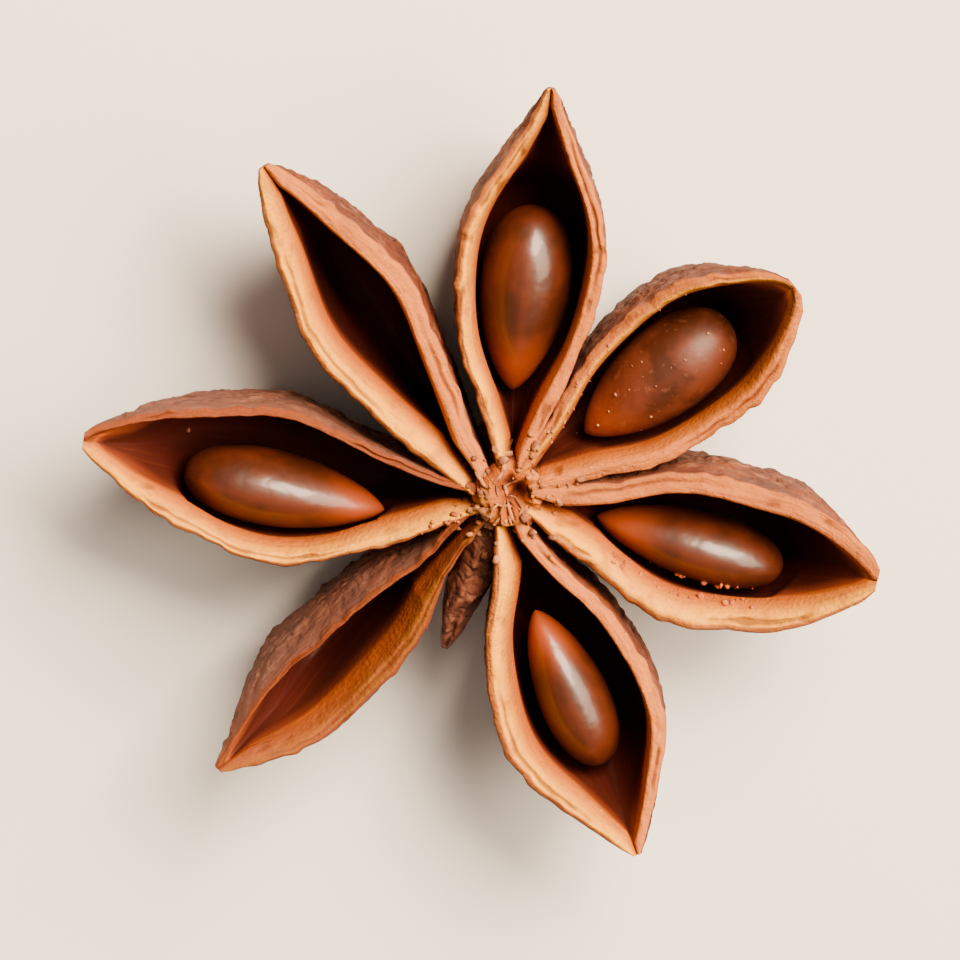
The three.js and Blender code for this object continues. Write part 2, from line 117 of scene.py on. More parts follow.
# The fine relief, which only this mesh has.
CREASE_HEIGHT = 0.26
PUCKER_HEIGHT = 0.1
SIDE_PUCKER_HEIGHT = 0.08
SIDE_FIBRE_HEIGHT = 0.05
FINE_HEIGHT = 0.3  # of a fold that counts as 1 in the field called relief
RIDGE_LEVEL = 0.35  # what a field of ridges comes to on the whole
JAG_DEPTH = 0.1  # of the short tears in the skin's edge
BAY_DEPTH = 0.08  # of the long ones
LIP_GRAIN = 0.05
LIP_GRIT = 0.03
CHIP_DEPTH = 0.3
SPLIT_DEPTH = 0.2  # of the gap between a lip's two layers
SPLIT_WIDTH = 0.08  # its width, its place and how far it wanders, as shares of the lip's width
SPLIT_PLACE = 0.36
SPLIT_WANDER = 0.1
LINING_DENT = 0.05
LINING_THREAD = 0.02

# The field called shade grows by this for each millimetre below the rim, and down the lining.
# It paints the lips' inner bevel and the lining darker: painted shade, and partly the
# lining's own colour.
SHADE_BY_DEPTH = 0.5
SHADE_INWARDS = 2

# Rough distances round a carpel, which set the scale of the patterns that follow its fibres.
SKIN_GIRTH = 9  # from the keel to the lip
LIP_GIRTH = 1
HOLLOW_GIRTH = 6  # from the mouth to the floor

# A carpel's row. Left and right are as seen from the column, looking out.
#   azimuth      degrees anticlockwise from +X
#   length       from the column's axis to the tip
#   half_width   at the widest
#   sway         how far the middle line is pulled to the left at the column, near it and far out
#   roll         degrees, to the left
#   rise         of the tip above the lips at the column
#   depth        of the keel below the rim
#   lip          width of the left and the right lip
#   crest        where each lip is highest, from the skin's edge (0) to the mouth (1)
#   beak         half its width
#   belly        its width, as a share of the width between the lips' outer edges
#   fullness     towards the column and towards the tip: less is fuller
#   bark         share of each lip's width where the fruit wall's outer layer shows; over 1 is all.
#                It is set higher on the lips in shade than on the lit ones, which is partly painted shade
#   worn         how weather-beaten each half is, from 0 to 1; on the lips and the lining it is
#                partly painted shade, darker on the halves that the light reaches least
#   phase        shifts the waves, the wrinkles and the fine relief
#   seed         its ends from the column's axis, width, height, offset to the left, drop of its
#                middle below the rim, and degrees that it is turned to the left
CARPELS = [
    dict(
        name="east", azimuth=-12.3, length=16.4, half_width=3.5, sway=(0.25, -1.05, -0.85),
        roll=0, rise=1.0, depth=7.1, lip=(1.2, 1.35), crest=(0.75, 0.3), beak=0.65, belly=1.0,
        fullness=(1.5, 1.15), bark_and_shade=(1.1, 0.25), worn_and_shaded=(0.3, 0.0), phase=0.4,
        seed=dict(near=4.1, far=12.5, width=3.0, height=4.2, side=-0.45, drop=3.0, skew=-4),
    ),
    dict(
        name="north_east", azimuth=37.8, length=15.6, half_width=3.3, sway=(0.25, -0.5, 0.05),
        roll=0, rise=1.0, depth=7.05, lip=(0.9, 0.95), crest=(0.5, 0.7), beak=0.55, belly=1.0,
        fullness=(1.4, 1.0), bark_and_shade=(0.45, 0.85), worn_and_shaded=(0.45, 0.0), phase=1.9,
        seed=dict(near=3.9, far=11.8, width=4.0, height=4.2, side=-0.2, drop=2.7, skew=0),
    ),
    dict(
        name="north", azimuth=84.4, length=18.5, half_width=3.2, sway=(-0.2, 0.65, -0.3),
        roll=0, rise=1.3, depth=7.1, lip=(0.95, 0.75), crest=(0.35, 0.75), beak=0.3, belly=1.0,
        fullness=(1.75, 1.6), bark_and_shade=(0.3, 1.1), worn_and_shaded=(0.0, 0.0), phase=3.1,
        seed=dict(near=4.0, far=12.2, width=3.9, height=4.4, side=0.0, drop=2.7, skew=0),
    ),
    dict(
        name="north_west", azimuth=125.0, length=18.3, half_width=2.6, sway=(0.65, 1.15, 0.5),
        roll=0, rise=1.3, depth=6.85, lip=(1.25, 1.1), crest=(0.3, 0.75), beak=0.4, belly=1.0,
        fullness=(1.55, 1.35), bark_and_shade=(0.2, 0.8), worn_and_shaded=(0.0, 0.0), phase=4.6,
        seed=None,
    ),
    dict(
        name="west", azimuth=171.2, length=18.6, half_width=3.4, sway=(-0.05, 2.2, 1.15),
        roll=0, rise=1.3, depth=6.95, lip=(1.05, 0.55), crest=(0.3, 0.6), beak=0.55, belly=0.97,
        fullness=(1.7, 1.4), bark_and_shade=(0.2, 1.1), worn_and_shaded=(0.0, 1.0), phase=5.3,
        seed=dict(near=5.1, far=13.9, width=3.3, height=4.2, side=0.7, drop=2.6, skew=0),
    ),
    dict(
        name="south_west", azimuth=222.2, length=17.4, half_width=1.95, sway=(-0.45, 0.2, 1.6),
        roll=7, rise=1.3, depth=6.95, lip=(1.1, 0.4), crest=(0.3, 0.5), beak=0.2, belly=1.15,
        fullness=(2.0, 1.2), bark_and_shade=(0.2, 1.1), worn_and_shaded=(1.0, 1.0), phase=0.9,
        seed=None,
    ),
    dict(
        name="south_east", azimuth=-70.4, length=16.9, half_width=3.6, sway=(-0.35, -0.55, -0.55),
        roll=0, rise=1.2, depth=7.05, lip=(0.85, 1.3), crest=(0.75, 0.3), beak=0.22, belly=1.0,
        fullness=(1.7, 1.25), bark_and_shade=(1.1, 0.25), worn_and_shaded=(0.0, 0.0), phase=2.5,
        seed=dict(near=5.8, far=13.3, width=3.1, height=4.0, side=-0.15, drop=2.3, skew=2.5),
    ),
]

# The small carpel that never filled and stayed shut; its top falls by drop towards its end.
SHUT_CARPEL = dict(azimuth=249.7, length=8.0, half_width=0.95, depth=4.5, drop=2.1, phase=1.2)
SHUT_TOP = 0.2  # its top below the lips, at the column
SHUT_CREASE = 0.25
SHUT_LUMPS = 0.12
SHUT_WORN = 0.6

# The column, the receptacle under it and the scar of the stalk.
COLUMN_RADIUS = 1.5
COLUMN_TOP = 7.45
COLUMN_LUMPS = 0.07
COLUMN_RIBS = 0.05
COLUMN_CRUMBLE = 0.2  # height of the crumbs that its top is broken into
COLUMN_WORN = 0.3
RECEPTACLE_RADIUS = 2.3
RECEPTACLE_BOTTOM = 1.55
STALK_RADIUS = 0.78
STALK_BOTTOM = 0.85
PIT_X = 0.49  # the pit in the column's top, from its axis
PIT_Y = 0.18
PIT_RADIUS = 0.5
PIT_DEPTH = 0.8
MOUND_HEIGHT = 0.3  # the fibrous mass beside it
MOUND_X = -0.75
MOUND_RADIUS = 0.6

# Broken bits that cling to the pod. A scatter is a carpel, the distances from the column that it
# lies between, the shares of the half width that it lies between, left and right, a count and
# the size of a middling crumb.
FIBRE_COUNT = 18
FIBRE_SHORTEST = 4  # points that a path needs
CRUMB_SPREAD = 0.4  # of the sizes, as the spread of their logarithms
CRUMB_LUMPS = 0.35
CRUMB_STRETCH = (0.55, 1.2)
CRUMB_LIFT = 0.25  # height of a crumb's middle over the ground, in crumb sizes
PALE_CRUMBS = [
    ("north_east", (3, 12), (0.85, -0.7), 30, 0.055),
    ("north_east", (3, 8), (0.95, 0.6), 20, 0.07),
    ("east", (2, 9), (1.25, 1.0), 12, 0.1),
    ("west", (12.5, 14.5), (-0.1, -0.5), 3, 0.09),
    ("south_east", (2, 9), (1.2, 0.9), 10, 0.09),
]
COLUMN_CRUMBS = [(c["name"], (0.8, 2.5), (1.7, -1.7), 16, 0.12) for c in CARPELS]
AMBER_CRUMBS = [
    ("east", (5, 12), (-0.5, -0.68), 70, 0.085),
    ("west", (2, 3.5), (1.0, 0.5), 8, 0.1),
]

# How finely the husk and the seeds are cut.
ROWS = 124
ROW_CROWDING = 1.2  # 1 is evenly spaced, and more crowds the rows towards the tip
LAST_ROW = 0.99  # where it lies, as a share of the length
OUTER_STEPS = 24
LIP_STEPS = 12
HOLLOW_STEPS = 14
SHUT_ROWS = 60
SHUT_SIDES = 56
COLUMN_ROWS = 63
CROWN_ROWS = 32
COLUMN_SIDES = 80
SEED_ROWS = 84
SEED_SIDES = 64
FIBRE_STEPS = 9
FIBRE_SIDES = 5


# ---- Random fields ----


def spots(*axes):
    """Points from one array for each axis, spread over each other's shapes."""
    return np.stack(np.broadcast_arrays(*axes), -1)


# The random values that the fields are made of, and the numbers that scatter cells over them.
TABLE = np.random.default_rng(11).uniform(-1, 1, 8192)
SCATTER_X, SCATTER_Y, SCATTER_Z = 73856093, 19349663, 83492791
SCATTER_CHANNEL = 2654435


def noise(points, channel, cell=1):
    """Smooth random values from -1 to 1 over cells of a size; each channel is a field of its own."""
    points = points / np.array(cell, float)
    low = np.floor(points).astype(np.int64)
    part = points - low
    part = part * part * (3 - 2 * part)
    total = np.zeros(points.shape[:-1])
    for corner in itertools.product((0, 1), repeat=3):
        x, y, z = np.moveaxis(low + np.array(corner), -1, 0)
        scattered = x * SCATTER_X ^ y * SCATTER_Y ^ z * SCATTER_Z ^ channel * SCATTER_CHANNEL
        weight = np.prod(np.where(corner, part, 1 - part), axis=-1)
        total += weight * TABLE[scattered % len(TABLE)]
    return total


def ridges(points, channel, cell=1):
    """Creased random values from -1 in the valleys to 1 along narrow crests."""
    return 1 - np.abs(noise(points, channel, cell)) * 2


def smooth(start, full, x):
    """0 before start and 1 after full, with a soft bend at each."""
    t = np.clip((x - start) / (full - start), 0, 1)
    return t * t * (3 - 2 * t)


def between(start, full, waning, end, x):
    """1 from full to waning, and 0 before start and after end."""
    return smooth(start, full, x) * (1 - smooth(waning, end, x))


def lerp(a, b, t):
    return a + (b - a) * t


# ---- The outline of a carpel ----
#
# c is a carpel's row, s runs from 0 at the column's axis to 1 at the tip, and side is 1 on the
# left and -1 on the right.


def half_width_at(c, s):
    inner, outer = c["fullness"]
    widest = inner / (inner + outer)
    peak = widest**inner * (1 - widest) ** outer
    lens = s**inner * (1 - s) ** outer / peak
    base = BASE_HALF_WIDTH * (1 - smooth(0.05, 0.3, s))
    wave = LIP_WAVE * np.sin(SIDE_WAVES * s + c["phase"]) * between(0.15, 0.4, 0.75, 1, s)
    beak = c["beak"] * smooth(0.6, 1, s) * (1 - BEAK_ROUNDING * smooth(BEAK_END, 1, s))
    return c["half_width"] * lens + base + beak + wave


def rim_height_at(c, s):
    dip = RIM_DIP * np.sin(np.pi * s) ** 2
    wave = LIP_WAVE * np.sin(RISE_WAVES * s + 2 * c["phase"]) * smooth(0.1, 0.4, s)
    return RIM_HEIGHT - dip + c["rise"] * (0.5 * s**3 + 0.5 * s**8) + wave


def depth_at(c, s):
    back = np.clip((DEEPEST - s) / DEEPEST, 0, 1)
    beyond = np.clip((s - DEEPEST) / (1 - DEEPEST), 0, 1)
    inwards = c["depth"] * (1 - (1 - BASE_DEPTH) * back**2)
    outwards = c["depth"] * (1 - beyond**KEEL_CURVE) ** KEEL_SWEEP + BEAK_DEPTH * beyond
    return np.where(s < DEEPEST, inwards, outwards)


def lip_at(c, s, side):
    """A lip's width, which always leaves a slit of the mouth open."""
    share = 1 - LIP_THINNING * smooth(0.75, 1, s)
    slit = MOUTH_SLIT * (1 - SLIT_CLOSING * smooth(0.88, 0.96, s))
    left, right = c["lip"]
    return np.minimum((left if side > 0 else right) * share, half_width_at(c, s) - slit)


def sway_at(c, s):
    """The middle line's offset to the left of the straight line to the tip."""
    base, near, far = c["sway"]
    return base * (1 - s) ** 3 + 3 * near * s * (1 - s) ** 2 + 3 * far * s**2 * (1 - s)


def sway_slope_at(c, s):
    step = 1e-3
    return (sway_at(c, s + step) - sway_at(c, s - step)) / (2 * step)


def seed_middle(c):
    """Where the middle of the carpel's seed lies, as a share of the carpel's length."""
    return (c["seed"]["near"] + c["seed"]["far"]) / 2 / c["length"]


def seed_slope(c):
    """How fast the axis of the carpel's seed moves to the left as s grows."""
    return sway_slope_at(c, seed_middle(c)) + c["length"] * math.tan(math.radians(c["seed"]["skew"]))


def cup_share_at(c, s):
    """1 where the hollow is the round cup of a seed, 0 where it is only a groove."""
    start, end = EMPTY_CUP
    seed = c["seed"] or dict(near=start * c["length"], far=end * c["length"])
    near, far = seed["near"], seed["far"]
    return between(near - CUP_FADE, near + CUP_START, far + CUP_END, far + CUP_FADE, s * c["length"])


def wrinkle(r, q, phase):
    """The long wrinkles that the solids share: r along the carpel, q round it from the keel."""
    along = r + 0.8 * np.sin(0.9 * q + phase)
    turn = q + 0.7 * np.sin(0.8 * r + 2 * phase)
    ridge = 1 - 2 * np.abs(np.sin(0.62 * along + 0.5 * turn + phase))
    lump = np.sin(1.9 * along + phase) * np.sin(1.4 * turn + 3 * phase)
    return 0.45 * ridge + 0.55 * lump


def seed_girth(along):
    """The seed's outline, up to 1, from its scar (along -1) to its blunt end (along 1)."""
    along = np.clip(along, -1, 1)
    return (1 + along) ** SEED_POINT * (1 - along) ** SEED_BLUNT / SEED_FULLEST


def swung(azimuth, r, across, up):
    """Points at distances from the column's axis, swung to an azimuth in degrees."""
    turn = math.radians(azimuth)
    x = COLUMN_X + r * math.cos(turn) - across * math.sin(turn)
    y = COLUMN_Y + r * math.sin(turn) + across * math.cos(turn)
    return spots(x, y, up)


def place(c, s, y, z):
    """Cross-section points rolled about the carpel's middle, moved onto its middle line and swung."""
    roll = math.radians(c["roll"]) * smooth(0.1, 0.45, s)
    pivot = rim_height_at(c, s) - ROLL_DEPTH * c["depth"]
    across = y * np.cos(roll) + (z - pivot) * np.sin(roll) + sway_at(c, s)
    up = pivot - y * np.sin(roll) + (z - pivot) * np.cos(roll)
    return swung(c["azimuth"], s * c["length"], across, up)


# ---- One carpel's surface: rows along it, a closed loop of points across it ----


def ragged_edge(c, s, side):
    """How far the skin's edge stands out past the smooth outline, where the carpel tore open."""
    spot = spots(s * c["length"], side * 5 + c["phase"], 0)
    jags = JAG_DEPTH * noise(spot, 14, cell=(0.5, 1, 1))
    bays = BAY_DEPTH * noise(spot, 15, cell=(1.7, 1, 1))
    return (jags + bays) * smooth(0.06, 0.16, s) * (1 - 0.6 * smooth(0.85, 1, s))


def skin_relief(c, s, side, turn, y, z, q):
    """Creases and puckers over the keel, crumbling into fibres up the flat sides."""
    r = s * c["length"]
    spot = spots(r, side * y, z)
    warp = spots(*[noise(spot, channel, cell=2.2) for channel in (21, 22, 23)])
    shrunk = spot + 0.5 * warp
    crease = ridges(shrunk, 5, cell=(1.5, 0.85, 0.85)) - RIDGE_LEVEL
    pucker = ridges(shrunk, 6, cell=(0.6, 0.5, 0.5)) - RIDGE_LEVEL
    fibre = noise(spots(r, q, c["phase"]), 7, cell=(4.5, 0.35, 1))
    keel = smooth(0.3, 0.85, turn) * smooth(0.1, 0.3, s)
    side_wall = smooth(0.0, 0.15, turn) * (1 - 0.6 * keel)
    fine = keel * (CREASE_HEIGHT * crease + PUCKER_HEIGHT * pucker)
    fine = fine + side_wall * (SIDE_FIBRE_HEIGHT * fibre + SIDE_PUCKER_HEIGHT * pucker)
    return fine * smooth(0, 0.12, s) * (1 - 0.7 * smooth(0.9, 1, s))


def outer_wall(c, s, side, turn):
    """Points from the lip (turn 0) to the keel (turn 1), and how far the skin stands out there."""
    width = half_width_at(c, s)
    rim = rim_height_at(c, s)
    depth = depth_at(c, s)
    belly = width * lerp(1, c["belly"], between(0.1, 0.3, 0.8, 1, s))
    belly_drop = BELLY_DROP * depth
    edge_drop = np.minimum(EDGE_DROP, THINNEST * depth)
    down = np.clip(turn / WALL_SHARE, 0, 1)
    under = np.clip((turn - WALL_SHARE) / (1 - WALL_SHARE), 0, 1) * np.pi / 2
    power = 2 / KEEL_ROUNDING
    wall_y = width + (belly - width) * np.sin(down * np.pi / 2)
    wall_z = rim - edge_drop - (belly_drop - edge_drop) * down
    keel_y = belly * np.clip(np.cos(under), 0, 1) ** power
    keel_z = rim - belly_drop - (depth - belly_drop) * np.sin(under) ** power
    y = np.where(turn <= WALL_SHARE, wall_y, keel_y)
    z = np.where(turn <= WALL_SHARE, wall_z, keel_z)

    reach = smooth(WRINKLE_START, WRINKLE_FULL, turn) * between(0.08, 0.25, 0.86, 1, s)
    q = side * (1 - turn) * (depth + width)
    long_wrinkle = wrinkle(s * c["length"], q, c["phase"])
    fine = skin_relief(c, s, side, turn, y, z, q)
    out = WRINKLE_HEIGHT * reach * (WRINKLE_LIFT + (1 - WRINKLE_LIFT) * long_wrinkle) + fine
    out = np.where(out < 0, -WRINKLE_SINK * np.tanh(-out / WRINKLE_SINK), out)
    middle = rim - WRINKLE_MIDDLE * depth
    span = np.hypot(y, z - middle)
    torn = ragged_edge(c, s, side) * (1 - smooth(0, 0.12, turn))
    relief = fine / FINE_HEIGHT + 0.25 * long_wrinkle * reach
    return side * (y + out * y / span + torn), z + out * (z - middle) / span, relief


def split_at(c, s, side):
    """Where on a lip's width its outer and inner layers come apart."""
    spot = spots(s * c["length"] / 2.3, side * 3 + c["phase"], 0)
    return SPLIT_PLACE + SPLIT_WANDER * noise(spot, 18)


def split_depth(c, s, side):
    """How far they come apart there: 0 is not at all."""
    spot = spots(s * c["length"] / 2.8, side * 3 + c["phase"], 0)
    return smooth(-0.25, 0.25, noise(spot, 19)) * between(0.1, 0.2, 0.8, 0.93, s)


def split_lip(c, s, side, edge, mouth):
    """Points between the skin's edge and the mouth: a fibrous face, highest at its crest."""
    share = np.linspace(0, 1, LIP_STEPS + 1)[None, 1:-1]
    y = lerp(edge[0], mouth[0], share)
    crest = c["crest"][0 if side > 0 else 1]
    outside = (np.clip(crest - share, 0, 1) / crest) ** 2
    inside = (np.clip(share - crest, 0, 1) / (1 - crest)) ** 1.7
    z = rim_height_at(c, s)
    z = z + outside * (edge[1] - z) + inside * (mouth[1] - z)
    spot = spots(s * c["length"], side * y, c["phase"])
    grain = noise(spot, 9, cell=(1.1, 0.2, 1))
    grit = noise(spot, 10, cell=(0.35, 0.25, 1))
    chip = np.clip(noise(spot, 11, cell=(0.8, 0.45, 1)) - 0.35, 0, 1)
    parting = np.exp(-(((share - split_at(c, s, side)) / SPLIT_WIDTH) ** 2)) * split_depth(c, s, side)
    rough = LIP_GRAIN * grain + LIP_GRIT * grit - CHIP_DEPTH * chip * (1 - share) - SPLIT_DEPTH * parting
    # A lip thinner than half a millimetre has less of it, and its two edges have none.
    body = np.clip(lip_at(c, s, side) / 0.5, 0.1, 1) * np.sin(np.pi * share) ** 0.5
    # The third value is the relief, which paints shade in the grain's grooves, the chips and the gap
    # between the layers.
    return y, z + body * rough, 0.4 * grain - parting - 1.5 * chip


def seed_room(c, s, y, z):
    """Moves what lies inside the room of the carpel's seed out to the room's wall."""
    seed = c["seed"]
    middle = seed_middle(c)
    along = (s - middle) * c["length"] / ((seed["far"] - seed["near"]) / 2 + SEED_END_ROOM)
    girth = seed_girth(along)
    ending = np.sqrt(np.clip((1 - np.abs(along)) / ROOM_ROUNDING, 1e-6, 1))
    middle_y = seed["side"] + sway_at(c, middle) + seed_slope(c) * (s - middle) - sway_at(c, s)
    middle_z = rim_height_at(c, middle) - seed["drop"]
    room_width = ending * (girth * seed["width"] * 0.5 + SEED_GAP)
    room_height = ending * (girth * seed["height"] * 0.5 + SEED_GAP)
    # In units of the room, which opens from a line over the hollow's own middle: what lies
    # inside moves away from there, out to the unit circle, and the wall leans out softly.
    aside = np.clip(-middle_y / room_width, -ROOM_SIDE, ROOM_SIDE)
    across = (y - middle_y) / room_width - aside
    up = (z - middle_z) / room_height - ROOM_PIVOT
    square = across**2 + up**2
    half = aside * across + ROOM_PIVOT * up
    out = (np.sqrt(half**2 + square * (1 - aside**2 - ROOM_PIVOT**2)) - half) / square
    out = np.where(np.abs(along) < 1, out, 0)
    out = (out**ROOM_SOFTNESS + 1) ** (1 / ROOM_SOFTNESS)
    y = middle_y + (aside + out * across) * room_width
    z = middle_z + (ROOM_PIVOT + out * up) * room_height
    return y, z


def hollow_wall(c, s, side, dip):
    """Points from the mouth (dip 0) down to the floor of the hollow (dip 1)."""
    mouth = half_width_at(c, s) - lip_at(c, s, side)
    depth = depth_at(c, s)
    rim = rim_height_at(c, s)
    top = rim - np.minimum(MOUTH_DROP, THINNEST * depth)
    cup = cup_share_at(c, s)
    reach = lerp(GROOVE_DEPTH, CUP_DEPTH, cup) * (1 - BEAK_SHALLOWING * smooth(0.85, 1, s))
    power = 2 / lerp(GROOVE_ROUNDING, CUP_ROUNDING, cup)
    angle = dip * np.pi / 2
    y = side * mouth * np.clip(np.cos(angle), 0, 1) ** power
    z = top - (top - rim + reach * depth) * np.sin(angle) ** power
    if c["seed"]:
        y, z = seed_room(c, s, y, z)
    spot = spots(s * c["length"], side * dip * HOLLOW_GIRTH, c["phase"])
    dent = LINING_DENT * noise(spot, 16, cell=(2.4, 1.3, 1))
    dent = dent + LINING_THREAD * noise(spot, 17, cell=(3.0, 0.3, 1))
    return y * (1 - dent * smooth(0, 0.15, dip)), z + dent * smooth(0.2, 0.6, dip)


def closed_loop(rows, skins, lips, hollows):
    """Joins one quantity, given for the left and right half of each surface, in the loop's order."""
    back = slice(None, None, -1)
    pieces = [
        skins[0],
        skins[1][:, :-1][:, back],
        lips[1],
        hollows[1],
        hollows[0][:, :-1][:, back],
        lips[0][:, back],
    ]
    return np.hstack([np.broadcast_to(p, (rows, p.shape[1])) for p in pieces])


def carpel_surface(c):
    """Rows of closed loops, and for each point the fields that the husk's material is laid by.

    across     -1 at the keel to 0 at the skin's edge, 0 to 1 over the split lip, and 1 to 2 from
               the mouth down to the floor of the hollow
    layer      under 1 where the lip shows the fruit wall's outer layer, over 1 where it shows
           the inner one; the shaded lips show more of the outer one, which is partly painted shade
    shade      how deep in the hollow a point lies: more is darker, which is painted shade and
           partly the lining's own colour
    relief     about -1 in the creases to 1 on the folds and fibres; the husk's colour has painted
           shade where it is low and a painted highlight where it is high
    grain_r    millimetres along the fibres
    grain_q    millimetres across them
    weathered  0 is fresh, 1 is greyed on the skin, and darker on the lips and the lining, which
           is partly painted shade
    """
    first = BASE_RADIUS / c["length"]
    rows = np.linspace(0, 1, ROWS + 1)
    s = (first + (LAST_ROW - first) * (1 - (1 - rows) ** ROW_CROWDING))[:, None]
    turns = np.linspace(0, 1, OUTER_STEPS + 1)[None, :]
    dips = np.linspace(0, 1, HOLLOW_STEPS + 1)[None, :]
    shares = np.linspace(0, 1, LIP_STEPS + 1)[None, 1:-1]
    skins, lips, hollows = [], [], []
    for side in (1, -1):
        skin = outer_wall(c, s, side, turns)
        hollow = hollow_wall(c, s, side, dips)
        edge = skin[0][:, :1], skin[1][:, :1]
        mouth = hollow[0][:, :1], hollow[1][:, :1]
        skins.append(skin)
        lips.append(split_lip(c, s, side, edge, mouth))
        hollows.append((*hollow, 0 * dips))
    y, z, relief = [
        closed_loop(len(s), [p[k] for p in skins], [p[k] for p in lips], [p[k] for p in hollows])
        for k in range(3)
    ]
    across = closed_loop(len(s), [-turns] * 2, [shares] * 2, [1 + dips] * 2)
    # How much of each lip is salmon follows the light, more on the shaded lips: partly painted shade.
    layers = [shares / bark_and_shade for bark_and_shade in c["bark_and_shade"]]
    layer = closed_loop(len(s), [0 * turns] * 2, layers, [2 + 0 * dips] * 2)
    round_skin = (1 - turns) * SKIN_GIRTH
    round_lip = SKIN_GIRTH + LIP_GIRTH * shares
    round_hollow = SKIN_GIRTH + LIP_GIRTH + HOLLOW_GIRTH * dips
    girth = closed_loop(
        len(s), [round_skin, -round_skin], [round_lip, -round_lip], [round_hollow, -round_hollow]
    )
    left_wear_and_shade, right_wear_and_shade = c["worn_and_shaded"]
    # Painted shade, and partly the lining's own colour: darker with depth below the rim and down the
    # lining, but not at the very tip of the beak.
    shade = SHADE_BY_DEPTH * (rim_height_at(c, s) - z) + SHADE_INWARDS * np.clip(across - 1, 0, 1)
    shade = shade * (1 - smooth(0.93, 0.985, s)) * (across > 0)
    zones = dict(
        across=across,
        layer=layer,
        shade=shade,
        relief=relief,
        grain_r=s * c["length"] * np.ones_like(y),
        grain_q=girth + 40 * c["phase"],
        # Wear on the skin; on the lips and the lining it is partly painted shade.
        wear_and_shade=lerp(right_wear_and_shade, left_wear_and_shade, smooth(-3, 3, girth)),
    )
    return place(c, s, y, z), zones


def tube_faces(rows, count):
    """Quads between loops of points."""
    a = np.arange((rows - 1) * count).reshape(rows - 1, count)
    b = np.roll(a, -1, axis=1)
    return np.stack([a, a + count, b + count, b], -1).reshape(-1, 4)


def cap_faces(count, split):
    """The triangles of a flat end: the loop's points up to split zipped to those after it."""
    near, far = split, count - split - 2
    faces, i, j = [], 0, 0
    while i < near or j < far:
        a, b = i, count - 1 - j
        if j == far or (i < near and i * far <= j * near):
            faces.append((a, a + 1, b))
            i += 1
        else:
            faces.append((a, b - 1, b))
            j += 1
    return faces


def tube_mesh(name, points, split):
    """A closed mesh from rows of loops of points."""
    rows, count = points.shape[:2]
    faces = [tuple(f) for f in tube_faces(rows, count)]
    last = (rows - 1) * count
    for a, b, c in cap_faces(count, split):
        faces.append((a, b, c))
        faces.append((last + c, last + b, last + a))
    mesh = bpy.data.meshes.new(name)
    mesh.from_pydata((points.reshape(-1, 3) * MM).tolist(), [], faces)
    mesh.update()
    return mesh


def store_field(mesh, key, values):
    """Keeps a value for each point, which the mesh's material reads by its key."""
    layer = mesh.attributes.new(key, "FLOAT", "POINT")
    layer.data.foreach_set("value", np.ascontiguousarray(values, dtype=np.float32).reshape(-1))


def shade_smooth(mesh):
    mesh.polygons.foreach_set("use_smooth", np.ones(len(mesh.polygons), bool))


def link(name, mesh):
    thing = bpy.data.objects.new(name, mesh)
    bpy.context.scene.collection.objects.link(thing)
    return thing


# ---- The shut carpel and the column ----


def ring(sides):
    """The angles of a ring's points, as one row."""
    return (np.arange(sides) / sides * 2 * np.pi)[None, :]


def shut_surface(c):
    """A shrunken carpel with a crease along its top, where it would have split."""
    s = lerp(0.06, 0.99, np.linspace(0, 1, SHUT_ROWS + 1))[:, None]
    turn = ring(SHUT_SIDES)
    half = c["half_width"] * (1 - s**3) ** 0.8 + 0.1
    depth = c["depth"] * (1 - s**2.6) ** 0.9 + 0.3
    top = RIM_HEIGHT - SHUT_TOP - c["drop"] * s
    off_top = np.arctan2(np.sin(turn), -np.cos(turn))
    crease = SHUT_CREASE * np.exp(-((off_top / 0.3) ** 2))
    lump = 1 + SHUT_LUMPS * wrinkle(s * c["length"], 3 * turn, c["phase"])
    y = -np.sin(turn) * half * lump
    z = top - depth / 2 - np.cos(turn) * depth * lump / 2 - crease
    fine = ridges(spots(s * c["length"], y, z), 31, cell=(1.1, 0.5, 0.5)) - RIDGE_LEVEL
    points = swung(c["azimuth"], s * c["length"], y * (1 + 0.12 * fine), z - 0.08 * fine * np.cos(turn))
    ones = np.ones_like(y)
    zones = dict(
        across=-0.5 * ones,
        layer=0 * ones,
        shade=0 * ones,
        relief=fine,
        grain_r=s * c["length"] * ones,
        grain_q=3 * turn * ones,
        wear_and_shade=SHUT_WORN * ones,
    )
    return points, zones


